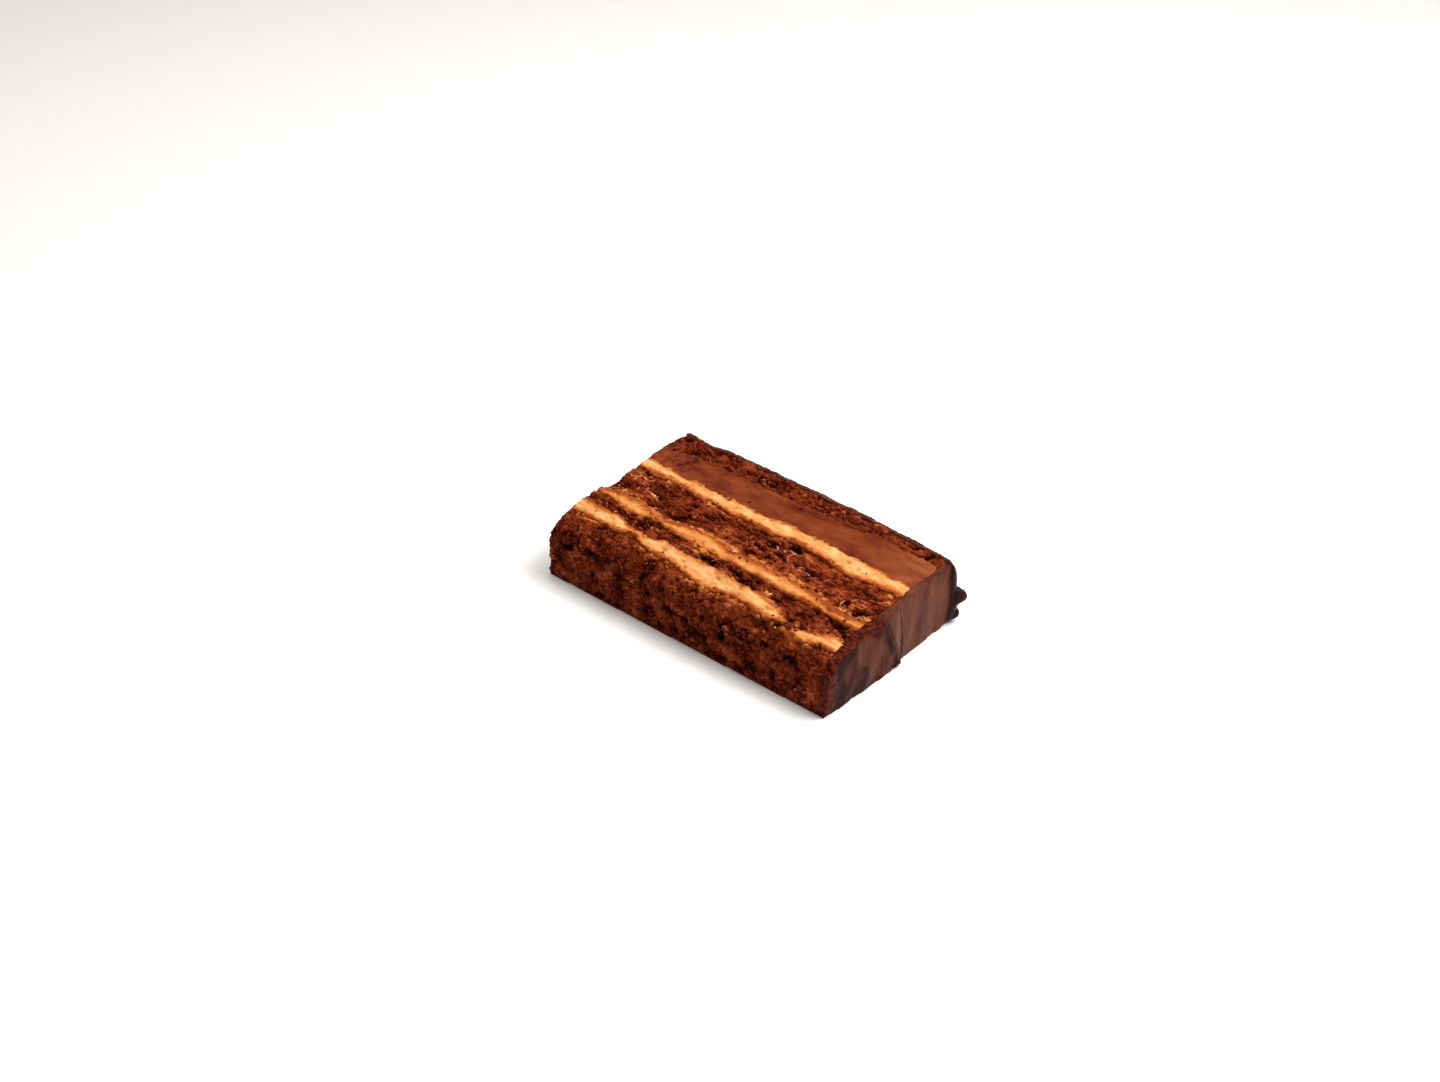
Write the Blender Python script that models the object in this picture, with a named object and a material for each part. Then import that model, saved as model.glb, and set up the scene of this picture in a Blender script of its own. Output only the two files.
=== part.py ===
# A slice of chocolate layer cake, lying on its cut side.
# X runs along the slice, from the inner cut end to the coated outer end.
# Y runs up the cake as it was baked, from its bare underside to its coated top.
# Z is the thickness of the slice, from the cut face it lies on to the cut face that shows.
import math

import bmesh
import bpy
from mathutils import Matrix, Vector, noise

MM = 0.001

# Driving dimensions
SLICE_LENGTH = 128.0 * MM
CAKE_HEIGHT = 76.0 * MM
THICKNESS = 24.5 * MM
COAT_THICKNESS = 2.5 * MM
LAYER_GAP = 0.3 * MM

# Where the layers start and stop
INNER_END_X = -0.5 * SLICE_LENGTH
COAT_END_X = 0.5 * SLICE_LENGTH
UNDERSIDE_Y = -0.5 * CAKE_HEIGHT
COAT_TOP_Y = 0.5 * CAKE_HEIGHT
COAT_LAP_OUT = 1.6 * MM
CAKE_END_X = COAT_END_X - COAT_LAP_OUT - COAT_THICKNESS - LAYER_GAP

# Slumping and rounding of the soft block
SLUMP_DEPTH = 3.2 * MM
SLUMP_WIDTH = 20.0 * MM
CORNER_SLUMP_DEPTH = 2.2 * MM
CORNER_SLUMP_REACH = 45.0 * MM
UNDERSIDE_TAPER = 2.2 * MM
UNDERSIDE_LEAN = 1.6 * MM
UNDERSIDE_EDGE_RADIUS = 5.5 * MM
INNER_END_FLARE = 1.9 * MM
INNER_EDGE_INSET = 1.2 * MM
INNER_CORNER_RADIUS = 5.0 * MM
COAT_CORNER_RADIUS = 4.0 * MM
COAT_TOP_LEAN = 1.0 * MM
COAT_TOP_FALL = 3.4 * MM
COAT_TOP_FALL_FROM = -9.0 * MM
COAT_TOP_DIP = 1.6 * MM
COAT_TOP_DIP_X = -50.0 * MM

# Spacing of the mesh
STATION = 3.0 * MM
SIDE_LEVELS = 3
UNDERSIDE_LEVELS = 8
COAT_LEVELS = 5

# Each filling is a band, in millimetres: how far its middle runs above the underside at the inner
# and at the outer end, how thick it is, and where its middle bends and its thickness swells (+) or
# is squeezed (-), each as (place along the slice, half width, amount)
BAND_BASE_Y = UNDERSIDE_Y + 5.0 * MM
BANDS = {
    "cream_lower": {
        "middle": (9.5, 6.2),
        "bends": ((45.0, 7.0, -2.0), (57.0, 4.0, 1.6), (1.0, 9.0, -1.0)),
        "thickness": 5.6,
        "swells": ((4.0, 15.0, 2.2), (38.5, 3.4, -4.6), (-32.0, 4.0, -3.4), (46.0, 6.0, -1.8)),
    },
    "cream_middle": {
        "middle": (21.0, 18.3),
        "bends": ((-30.0, 6.0, -1.0), (-13.0, 9.0, 0.8)),
        "thickness": 5.9,
        "swells": (
            (-60.0, 5.0, -3.6), (-43.0, 5.0, 1.5), (-31.0, 4.6, -4.6),
            (-12.0, 8.0, 2.2), (48.0, 10.0, -1.6),
        ),
    },
    "cream_upper": {
        "middle": (43.7, 42.4),
        "bends": ((40.0, 9.0, -0.8), (56.0, 5.0, 0.8)),
        "thickness": 7.0,
        "swells": ((-42.0, 9.0, -2.6), (37.0, 13.0, 1.4)),
    },
    "fudge_layer": {
        "middle": (52.9, 54.2),
        "bends": ((-40.0, 12.0, -0.6),),
        "thickness": 11.6,
        "swells": ((48.0, 16.0, 1.8),),
    },
}

# The layers from the cake's underside to its top: rows of mesh across each, the roughness of its
# cut face and how far that face stands proud in millimetres, and its colour and roughness
SPONGE = (0.10, 0.022, 0.009)
CREAM = (0.72, 0.36, 0.13)
FUDGE = (0.21, 0.055, 0.024)
GANACHE = (0.055, 0.026, 0.019)
LAYERS = (
    {"name": "sponge_bottom", "rows": 3, "crag": 0.55, "proud": -0.1, "colour": SPONGE, "roughness": 0.85},
    {"name": "cream_lower", "rows": 3, "crag": 0.30, "proud": 0.3, "colour": CREAM, "roughness": 0.45},
    {"name": "sponge_lower", "rows": 2, "crag": 0.85, "proud": -0.5, "colour": SPONGE, "roughness": 0.85},
    {"name": "cream_middle", "rows": 3, "crag": 0.30, "proud": 0.2, "colour": CREAM, "roughness": 0.45},
    {"name": "sponge_middle", "rows": 5, "crag": 0.80, "proud": -0.3, "colour": SPONGE, "roughness": 0.85},
    {"name": "cream_upper", "rows": 3, "crag": 0.25, "proud": 0.3, "colour": CREAM, "roughness": 0.45},
    {"name": "fudge_layer", "rows": 4, "crag": 0.20, "proud": 0.1, "colour": FUDGE, "roughness": 0.5},
    {"name": "sponge_top", "rows": 4, "crag": 0.85, "proud": -0.3, "colour": SPONGE, "roughness": 0.85},
)

# The coat on the end thickens to a lap, where a stroke of the knife ended, and has ripples
COAT_LAP_Y = 2.0 * MM
COAT_LAP_WIDTH = 4.0 * MM
COAT_RIPPLE = 0.35 * MM

# Lumps of ganache fused to the coat, in millimetres: the two halves of the thick ridge down its
# corner and the two blobs on that as (centre, half sizes out of the corner, across it and upright),
# and low ones on the cake's top as (place along the slice, height, half sizes)
CORNER_LUMPS = (
    ((60.9, 33.1, 17.6), (2.3, 2.9, 6.6)),
    ((60.9, 33.1, 7.4), (2.2, 2.8, 6.9)),
    ((62.9, 35.3, 10.4), (3.3, 2.3, 2.7)),
    ((62.0, 34.2, 3.0), (2.6, 1.9, 1.8)),
)
TOP_LUMPS = (
    (35.0, 21.3, (1.3, 4.0, 2.2)),
    (2.0, 18.5, (1.0, 2.8, 1.8)),
    (-34.0, 19.5, (1.2, 3.4, 2.2)),
    (-9.0, 9.0, (1.0, 1.9, 3.0)),
)
TOP_LUMP_SUNK = 0.3 * MM
LUMP_UNEVENNESS = 0.12


def smooth(value, low, high):
    """0 below low, 1 above high, and an even ease between them."""
    share = min(1.0, max(0.0, (value - low) / (high - low)))
    return share * share * (3.0 - 2.0 * share)


def hump(x, place, half_width):
    return math.exp(-(((x - place) / half_width) ** 2))


def humps(x, listed):
    """The sum of a band's bends or swells at one place, in metres."""
    return sum(amount * MM * hump(x / MM, place, half_width) for place, half_width, amount in listed)


def rough(x, y, z, size, seed):
    """Coherent noise of about -1 to 1 whose lumps are size across."""
    apart = Vector((7.31, -3.17, 1.93)) * seed
    return 1.6 * noise.noise(Vector((x, y, z)) / size + apart)


def along_slice(x):
    return (x - INNER_END_X) / SLICE_LENGTH


# In the functions below, up is the share of the way from the face the slice lies on
# to the one that shows.


def underside_y(x, up):
    """The bare underside of the cake: its foot spreads where the slice lies, most at the inner end."""
    return UNDERSIDE_Y + UNDERSIDE_TAPER * along_slice(x) + UNDERSIDE_LEAN * up * up


def coat_top_y(x, up):
    """The outer face of the coat on the cake's top, which falls away towards the outer end."""
    fall = COAT_TOP_FALL * max(0.0, (x - COAT_TOP_FALL_FROM) / (COAT_END_X - COAT_TOP_FALL_FROM)) ** 2
    dip = COAT_TOP_DIP * hump(x, COAT_TOP_DIP_X, 7.0 * MM)
    return COAT_TOP_Y - COAT_TOP_LEAN * (1.0 - up) - fall - dip


def block_top_z(x, y):
    """The cut face that shows: level over most of the slice, and slumped towards the underside."""
    from_underside = y - UNDERSIDE_Y
    slump = SLUMP_DEPTH * (1.0 - smooth(from_underside, 0.0, SLUMP_WIDTH))
    corner = smooth(x, COAT_END_X - CORNER_SLUMP_REACH, COAT_END_X)
    corner *= 1.0 - smooth(from_underside, 0.0, 0.5 * CAKE_HEIGHT)
    wave = 0.35 * MM * rough(x, y, 0.0, 38.0 * MM, 4)
    return THICKNESS - slump - CORNER_SLUMP_DEPTH * corner + wave


def band_edges(name, x, up):
    """The two edges of a filling at one place."""
    band = BANDS[name]
    seed = list(BANDS).index(name)
    inner, outer = band["middle"]
    middle = (inner + (outer - inner) * along_slice(x)) * MM
    middle += humps(x, band["bends"]) + 0.7 * MM * rough(x, 0.0, up * THICKNESS, 26.0 * MM, seed)
    thickness = band["thickness"] * MM + 0.8 * MM * rough(x, 0.0, up * THICKNESS, 15.0 * MM, seed + 11)
    thickness = max(1.1 * MM, thickness + humps(x, band["swells"]))
    return BAND_BASE_Y + middle - 0.5 * thickness, BAND_BASE_Y + middle + 0.5 * thickness


def layer_faces(x, up):
    """The faces between the layers at one place, from the cake's underside to the coat on its top."""
    cream_lower = band_edges("cream_lower", x, up)
    cream_middle = band_edges("cream_middle", x, up)
    cream_upper = band_edges("cream_upper", x, up)
    fudge_top = band_edges("fudge_layer", x, up)[1]
    cake_top = coat_top_y(x, up) - COAT_THICKNESS
    return (underside_y(x, up), *cream_lower, *cream_middle, *cream_upper, fudge_top, cake_top)


def layer_y(index, x, across, up):
    """A place across a layer, from its lower face at 0 to its upper face at 1."""
    faces = layer_faces(x, up)
    low = faces[index] + (0.0 if index == 0 else 0.5 * LAYER_GAP)
    high = faces[index + 1] - (LAYER_GAP if index == len(LAYERS) - 1 else 0.5 * LAYER_GAP)
    return low + across * (high - low)


def coat_end_x(up):
    """The outer face of the coat on the end, before its lap and ripples."""
    return COAT_END_X - COAT_LAP_OUT + 0.5 * MM * (math.sin(math.pi * up) - 1.0)


def coat_corner(up):
    """The centre that the coat rounds its corner about."""
    x = coat_end_x(up) - COAT_CORNER_RADIUS
    return x, coat_top_y(x, up) - COAT_CORNER_RADIUS


def cake_end_x(y, up):
    """The end of the layers inside the coat, rounded towards the cake's top."""
    radius = COAT_CORNER_RADIUS - COAT_THICKNESS - LAYER_GAP
    into = min(radius, max(0.0, y - coat_corner(up)[1]))
    setback = radius - math.sqrt(radius * radius - into * into)
    return coat_end_x(up) - COAT_THICKNESS - LAYER_GAP - setback


def inner_end_x(y, up):
    """The inner cut end: a little uneven, flared towards the cake's top and rounded at its corner."""
    flare = INNER_END_FLARE * (1.0 - smooth(y, 5.0 * MM, 25.0 * MM))
    into = min(INNER_CORNER_RADIUS, max(0.0, y - (COAT_TOP_Y - COAT_TOP_LEAN - INNER_CORNER_RADIUS)))
    rounding = INNER_CORNER_RADIUS - math.sqrt(INNER_CORNER_RADIUS ** 2 - into ** 2)
    return INNER_END_X + flare + rounding + 0.8 * MM * (1.0 + rough(0.0, y, up * THICKNESS, 9.0 * MM, 21))


def grid_block(columns, rows, levels):
    """A unit cube from the origin, cut into columns along X, rows along Y and levels along Z."""
    block = bmesh.new()
    bmesh.ops.create_cube(block, size=1.0)
    bmesh.ops.translate(block, verts=block.verts, vec=(0.5, 0.5, 0.5))
    for axis, count in enumerate((columns, rows, levels)):
        normal = Vector((0.0, 0.0, 0.0))
        normal[axis] = 1.0
        for cut in range(1, count):
            geometry = block.verts[:] + block.edges[:] + block.faces[:]
            bmesh.ops.bisect_plane(block, geom=geometry, plane_co=normal * (cut / count), plane_no=normal)
    return block


def round_underside_edge(x, y, z, top_z):
    """Rounds the crumbling edge between the shown cut face and the cake's underside."""
    radius = UNDERSIDE_EDGE_RADIUS
    over = radius - (y - underside_y(x, min(1.0, z / top_z)))
    up = radius - (top_z - z)
    reach = math.hypot(over, up)
    if over > 0.0 and up > 0.0 and reach > radius:
        return y + over * (1.0 - radius / reach), z - up * (1.0 - radius / reach)
    return y, z


def relief(index, x, y, z, share):
    """How far crags lift or sink a layer's cut faces: coarse lumps with smaller ones on them."""
    lumps = rough(x, y, z, 8.0 * MM, 30 + index)
    crumbs = rough(x, y, z, 3.6 * MM, 50 + index)
    return LAYERS[index]["crag"] * MM * share * (0.6 * lumps + 0.7 * crumbs)


def flatten_rest_face(block):
    """Makes what the slice lies on one flat face."""
    rest = [face for face in block.faces if all(abs(corner.co.z) < 1e-7 for corner in face.verts)]
    bmesh.ops.dissolve_faces(block, faces=rest)


def material(name, colour, roughness):
    made = bpy.data.materials.new(name)
    made.use_nodes = True
    shader = made.node_tree.nodes["Principled BSDF"]
    shader.inputs["Base Color"].default_value = (*colour, 1.0)
    shader.inputs["Roughness"].default_value = roughness
    shader.inputs["Metallic"].default_value = 0.0
    return made


def add_object(name, block, collection, made):
    bmesh.ops.recalc_face_normals(block, faces=block.faces)
    mesh = bpy.data.meshes.new(name)
    block.to_mesh(mesh)
    block.free()
    mesh.materials.append(made)
    obj = bpy.data.objects.new(name, mesh)
    collection.objects.link(obj)
    return obj


def build_layer(index, collection):
    """One layer of sponge, cream or fudge, which runs through the whole thickness of the slice."""
    layer = LAYERS[index]
    bottom = index == 0
    levels = UNDERSIDE_LEVELS if bottom else SIDE_LEVELS
    block = grid_block(round(SLICE_LENGTH / STATION), layer["rows"], levels)
    for corner in block.verts:
        along, across, up = corner.co
        x = INNER_END_X + along * (CAKE_END_X - INNER_END_X)
        y = layer_y(index, x, across, up)
        x = inner_end_x(y, up) + along * (cake_end_x(y, up) - inner_end_x(y, up))
        if along == 0.0:
            x += INNER_EDGE_INSET * smooth(up, 0.75, 1.0)
            x += relief(index, x, y, up * THICKNESS, min(1.0, 3.0 * up))
        y = layer_y(index, x, across, up)
        top_z = block_top_z(x, y)
        z = up * top_z
        if bottom:
            y, z = round_underside_edge(x, y, z, top_z)
            if across == 0.0:
                y += 1.6 * relief(index, x, y, z, min(1.0, 3.0 * up))
        if up == 1.0:
            clear = smooth(CAKE_END_X - x, 0.0, 2.0 * MM)
            z += layer["proud"] * MM * clear + relief(index, x, y, z, 0.3 + 0.7 * clear)
        corner.co = (x, y, z)
    flatten_rest_face(block)
    made = material(layer["name"], layer["colour"], layer["roughness"])
    return add_object(layer["name"], block, collection, made)


def coat_path(share, up):
    """A place on the coat's outer face, from the cake's underside round the corner to the inner end,
    and the direction that faces out of the coat there."""
    radius = COAT_CORNER_RADIUS
    start_y = underside_y(COAT_END_X, up)
    corner_x, corner_y = coat_corner(up)
    up_end, round_corner = corner_y - start_y, 0.5 * math.pi * radius
    along_top = corner_x - inner_end_x(COAT_TOP_Y - COAT_THICKNESS, up)
    run = share * (up_end + round_corner + along_top)
    if run <= up_end:
        return Vector((coat_end_x(up), start_y + run, 0.0)), Vector((1.0, 0.0, 0.0))
    if run <= up_end + round_corner:
        angle = (run - up_end) / radius
        out = Vector((math.cos(angle), math.sin(angle), 0.0))
        return Vector((corner_x, corner_y, 0.0)) + radius * out, out
    x = corner_x - (run - up_end - round_corner)
    return Vector((x, coat_top_y(x, up), 0.0)), Vector((0.0, 1.0, 0.0))


def coat_swell(spot, out, up):
    """How far the coat's outer face stands out of its even thickness: the lap on the end, and ripples."""
    lap = smooth(spot.y, UNDERSIDE_Y - 10.0 * MM, COAT_LAP_Y - COAT_LAP_WIDTH)
    lap *= 1.0 - smooth(spot.y, COAT_LAP_Y - COAT_LAP_WIDTH, COAT_LAP_Y + COAT_LAP_WIDTH)
    ripple = COAT_RIPPLE * rough(spot.x, spot.y, 0.4 * up * THICKNESS, 5.0 * MM, 60)
    return (COAT_LAP_OUT * lap if out.x == 1.0 else 0.0) + ripple


def build_coat_slab(collection, made):
    """The ganache over the cake's outer side and its top, as one bent slab."""
    block = grid_block(round((CAKE_HEIGHT + SLICE_LENGTH) / STATION), 1, COAT_LEVELS)
    for corner in block.verts:
        share, across, up = corner.co
        outer, out = coat_path(share, up)
        spot = outer - out * COAT_THICKNESS if across == 0.0 else outer + out * coat_swell(outer, out, up)
        z = up * block_top_z(spot.x, spot.y)
        if up == 1.0:
            z -= 0.8 * MM * across
        if share == 0.0:
            spot.y, z = round_underside_edge(spot.x, spot.y, z, block_top_z(spot.x, spot.y))
        corner.co = (spot.x, spot.y, z)
    flatten_rest_face(block)
    return add_object("ganache_coat", block, collection, made)


def build_lump(name, centre, half_sizes, facing, collection, made):
    """One uneven lump of ganache, whose first half size is the one along the direction it faces."""
    lump = bmesh.new()
    bmesh.ops.create_icosphere(lump, subdivisions=2, radius=1.0)
    bmesh.ops.scale(lump, verts=lump.verts, vec=Vector(half_sizes) * MM)
    bmesh.ops.rotate(lump, verts=lump.verts, matrix=Matrix.Rotation(facing, 3, "Z"))
    for corner in lump.verts:
        corner.co *= 1.0 + LUMP_UNEVENNESS * rough(*(corner.co + centre), 1.9 * MM, 70)
    bmesh.ops.translate(lump, verts=lump.verts, vec=centre)
    add_object(name, lump, collection, made)


def build_lumps(collection, made):
    outward, upward = math.radians(45.0), math.radians(90.0)
    for index, (centre, half_sizes) in enumerate(CORNER_LUMPS):
        name = "corner_lump_%d" % index
        build_lump(name, Vector(centre) * MM, half_sizes, outward, collection, made)
    for index, (place, height, half_sizes) in enumerate(TOP_LUMPS):
        x, z = place * MM, height * MM
        centre = Vector((x, coat_top_y(x, z / THICKNESS) - TOP_LUMP_SUNK, z))
        build_lump("top_lump_%d" % index, centre, half_sizes, upward, collection, made)


def fuse(obj, pieces):
    """Joins the objects of a collection to obj in one Boolean union, and removes them."""
    union = obj.modifiers.new("fused_lumps", "BOOLEAN")
    union.operation = "UNION"
    union.operand_type = "COLLECTION"
    union.collection = pieces
    union.solver = "EXACT"
    bpy.context.view_layer.update()
    joined = bpy.data.meshes.new_from_object(obj.evaluated_get(bpy.context.evaluated_depsgraph_get()))
    obj.modifiers.clear()
    obj.data = joined
    for piece in list(pieces.objects):
        bpy.data.objects.remove(piece)
    bpy.data.collections.remove(pieces)


def shade(obj):
    obj.data.shade_smooth()
    obj.data.set_sharp_from_angle(angle=math.radians(50.0))


def main():
    for obj in list(bpy.data.objects):
        bpy.data.objects.remove(obj)
    cake = bpy.data.collections.new("chocolate_cake_slice")
    lumps = bpy.data.collections.new("ganache_lumps")
    bpy.context.scene.collection.children.link(cake)
    bpy.context.scene.collection.children.link(lumps)
    for index in range(len(LAYERS)):
        shade(build_layer(index, cake))
    ganache = material("ganache_coat", GANACHE, 0.38)
    coat = build_coat_slab(cake, ganache)
    build_lumps(lumps, ganache)
    fuse(coat, lumps)
    shade(coat)


main()
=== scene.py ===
# Dresses the slice of chocolate cake: torn crumb, cream bands, fudge, ganache and crumbs,
# then the floor, the light and the camera.
import math
import random

import bpy
import numpy as np
from mathutils import Matrix, Vector, noise
from mathutils.bvhtree import BVHTree


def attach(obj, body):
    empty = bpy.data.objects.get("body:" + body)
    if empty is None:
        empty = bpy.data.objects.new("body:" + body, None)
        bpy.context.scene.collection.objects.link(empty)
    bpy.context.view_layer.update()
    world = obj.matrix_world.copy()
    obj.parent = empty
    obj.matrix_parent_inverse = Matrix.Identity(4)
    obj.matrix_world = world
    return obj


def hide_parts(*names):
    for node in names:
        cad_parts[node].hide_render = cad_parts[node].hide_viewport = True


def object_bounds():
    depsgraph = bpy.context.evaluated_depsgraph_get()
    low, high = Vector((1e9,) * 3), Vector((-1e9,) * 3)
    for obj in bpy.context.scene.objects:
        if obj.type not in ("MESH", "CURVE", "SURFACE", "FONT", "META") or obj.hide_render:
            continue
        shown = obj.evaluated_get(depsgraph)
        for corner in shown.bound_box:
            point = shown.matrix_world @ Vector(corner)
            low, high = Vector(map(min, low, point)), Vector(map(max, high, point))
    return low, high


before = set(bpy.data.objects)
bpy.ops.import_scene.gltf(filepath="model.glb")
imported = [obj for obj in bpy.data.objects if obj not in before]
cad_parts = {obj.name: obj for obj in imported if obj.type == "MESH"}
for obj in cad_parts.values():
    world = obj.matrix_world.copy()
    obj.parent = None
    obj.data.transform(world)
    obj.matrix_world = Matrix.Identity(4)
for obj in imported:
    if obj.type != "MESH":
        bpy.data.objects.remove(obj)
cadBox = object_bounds()
mm = 0.001
picks = random.Random(11)
margin = 0.02 * mm
meshFineness = {"voxel": 0.42 * mm, "fine": 0.36 * mm}


# small tools

def deselectAll():
    bpy.ops.object.select_all(action="DESELECT")


def pick(piece):
    deselectAll()
    piece.select_set(True)
    bpy.context.view_layer.objects.active = piece


def applyModifiers(piece):
    pick(piece)
    for modifier in list(piece.modifiers):
        bpy.ops.object.modifier_apply(modifier=modifier.name)


def selectAllInside(piece):
    pick(piece)
    bpy.ops.object.mode_set(mode="EDIT")
    bpy.ops.mesh.select_all(action="SELECT")


def readVectors(piece, what):
    values = np.empty(len(piece.data.vertices) * 3, dtype=np.float32)
    piece.data.vertices.foreach_get(what, values)
    return values.reshape(-1, 3).astype(float)


def readPoints(piece):
    return readVectors(piece, "co")


def readNormals(piece):
    return readVectors(piece, "normal")


def writePoints(piece, points):
    piece.data.vertices.foreach_set("co", points.astype(np.float32).ravel())
    piece.data.update()


def storeValues(piece, name, values):
    attribute = piece.data.attributes.new(name, "FLOAT", "POINT")
    attribute.data.foreach_set("value", np.asarray(values, dtype=np.float32))


def ease(values, low, high):
    share = np.clip((np.asarray(values, dtype=float) - low) / (high - low), 0.0, 1.0)
    return share * share * (3.0 - 2.0 * share)


def spread(count, where, values):
    # values worked out for some of the points, laid out for all of them
    whole = np.zeros(count)
    whole[where] = values
    return whole


def noiseAt(points, size, seed=0.0, basis="PERLIN_ORIGINAL"):
    scaled = points / (np.asarray(size) * mm) + seed * 5.37
    return np.array([noise.noise(spot, noise_basis=basis) for spot in scaled.tolist()])


def waves(points, *parts):
    # noise of several sizes added up; each part is its height, size and seed
    return sum(height * noiseAt(points, size, seed) for height, size, seed in parts)


def lookAround(points, tree, reach=6.0):
    # how far the nearest neighbour is, in millimetres, and which way it lies
    found = [tree.find_nearest(spot, reach * mm) for spot in points.tolist()]
    apart = np.array([reach if hit[3] is None else hit[3] / mm for hit in found])
    toward = np.array([(0.0, 0.0, 0.0) if hit[3] is None else hit[0][:] for hit in found]) - points
    toward[apart >= reach] = 0.0
    return apart, toward / np.maximum(np.linalg.norm(toward, axis=1), 1e-9)[:, None]


def distanceTo(points, tree, reach):
    return lookAround(points, tree, reach)[0]


def treeOfNodes(names):
    corners, faces = [], []
    for name in names:
        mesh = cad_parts[name].data
        start = len(corners)
        corners += [vertex.co[:] for vertex in mesh.vertices]
        faces += [[start + index for index in face.vertices] for face in mesh.polygons]
    return BVHTree.FromPolygons(corners, faces)


nodeNames = list(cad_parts)
nodeTrees = {name: treeOfNodes([name]) for name in nodeNames}
otherTrees = {name: treeOfNodes([other for other in nodeNames if other != name]) for name in nodeNames}
wholeTree = treeOfNodes(nodeNames)


# geometry shared by all the layers

def roughCopy(nodeName, pieceName, voxel):
    # a merged copy of the solid, remeshed evenly so that crumb can be carved into it
    piece = bpy.data.objects.new(pieceName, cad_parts[nodeName].data.copy())
    bpy.context.scene.collection.objects.link(piece)
    piece.data.materials.clear()
    selectAllInside(piece)
    bpy.ops.mesh.remove_doubles(threshold=0.01 * mm)
    bpy.ops.object.mode_set(mode="OBJECT")
    remesh = piece.modifiers.new("evenMesh", "REMESH")
    remesh.mode = "VOXEL"
    remesh.voxel_size = voxel
    remesh.use_smooth_shade = True
    applyModifiers(piece)
    for attribute in list(piece.data.attributes):
        if attribute.name.startswith("custom_normal"):
            piece.data.attributes.remove(attribute)
    return piece


# between the layers: where the waves begin and stop across the slice, in millimetres, the waves
# themselves, and the waves that let one layer spill over the next
borders = {
    "start": (-34.0, -30.0),
    "end": (29.0, 33.0),
    "waves": ((0.55, (5.5, 5.5, 9.0), 3.0), (0.42, (2.1, 2.1, 5.0), 8.0), (0.34, (1.05, 1.3, 2.5), 10.0)),
    "spills": ((0.8, (2.9, 2.4, 2.9), 41.0), (0.4, (1.1, 1.0, 1.1), 42.0), (0.6, (8.0, 6.0, 8.0), 43.0)),
}


def wobble(points):
    # one wavy shift for every layer, so the borders between them turn ragged and stay closed
    start, end = np.array(borders["start"]) * mm, np.array(borders["end"]) * mm
    inside = ease(points[:, 1], *start) * (1.0 - ease(points[:, 1], *end))
    moved = points.copy()
    moved[:, 1] += waves(points, *borders["waves"]) * inside * mm
    return moved


def keepInside(points):
    low, high = (np.array(corner) for corner in cadBox)
    return np.clip(points, low + margin, high - margin)


# the cut face that shows and the inner end; level is where their pattern is read, in millimetres, and
# follows is how far below them the walls hidden between layers go along with what is carved
openFaces = (
    {"axis": 2, "sign": 1.0, "level": 24.5, "follows": (1.0, 6.0)},
    {"axis": 0, "sign": -1.0, "level": -60.5, "follows": (1.2, 6.5)},
)


def mapFace(face):
    # where the cake's outside lies, seen along the face's axis, on a grid of one millimetre
    axis, sign = face["axis"], face["sign"]
    sides = [index for index in range(3) if index != axis]
    low = np.floor(np.array(cadBox[0])[sides] / mm)
    counts = (np.ceil(np.array(cadBox[1])[sides] / mm) - low).astype(int) + 1
    found = np.full(counts, -1000.0)
    start, inward = Vector((0.0, 0.0, 0.0)), Vector((0.0, 0.0, 0.0))
    start[axis], inward[axis] = sign * 0.1, -sign
    for row in range(counts[0]):
        for column in range(counts[1]):
            start[sides[0]], start[sides[1]] = (low[0] + row) * mm, (low[1] + column) * mm
            hit = wholeTree.ray_cast(start, inward)[0]
            if hit is not None:
                found[row, column] = sign * hit[axis] / mm
    # the slits between layers take the height of what stands beside them
    padded = np.pad(found, 1, mode="edge")
    windows = [padded[row:row + counts[0], column:column + counts[1]]
               for row in range(3) for column in range(3)]
    return sides, low, np.max(windows, axis=0)


def depthBelow(face, points):
    # how far under a face points lie, in millimetres
    sides, low, outside = face["map"]
    cells = np.rint(points[:, sides] / mm - low).astype(int)
    cells = np.clip(cells, 0, np.array(outside.shape) - 1)
    return outside[cells[:, 0], cells[:, 1]] - face["sign"] * points[:, face["axis"]] / mm


for face in openFaces:
    face["map"] = mapFace(face)
cutFace, innerEnd = openFaces


def carveFaces(base, normals, apart, carve):
    # carve(points) gives a height in millimetres; returned are the shift of every point, its height and
    # where it shows
    hidden = 1.0 - ease(apart, 0.5, 1.1)
    offGround = ease(base[:, 2], 0.4 * mm, 1.6 * mm)
    shift, relief, left = np.zeros_like(base), np.zeros(len(base)), np.ones(len(base))
    shown = np.zeros(len(base))
    for face in openFaces:
        facing = ease(face["sign"] * normals[:, face["axis"]], 0.25, 0.65)
        near = 1.0 - ease(depthBelow(face, base), *face["follows"])
        share = left * np.maximum(facing * ease(near, 0.0, 0.4), hidden * near) * offGround
        where = np.flatnonzero(share > 0.001)
        spots = base[where]
        spots[:, face["axis"]] = face["level"] * mm
        heights = carve(spots) * share[where]
        shift[where, face["axis"]] += face["sign"] * heights * mm
        relief[where] += heights
        shown = np.maximum(shown, facing * share)
        left *= 1.0 - share
    share = left * (1.0 - hidden) * offGround
    where = np.flatnonzero(share > 0.001)
    heights = carve(base[where]) * share[where]
    shift[where] += normals[where] * heights[:, None] * mm
    relief[where] += heights
    return shift, relief, np.maximum(shown, share)


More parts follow.
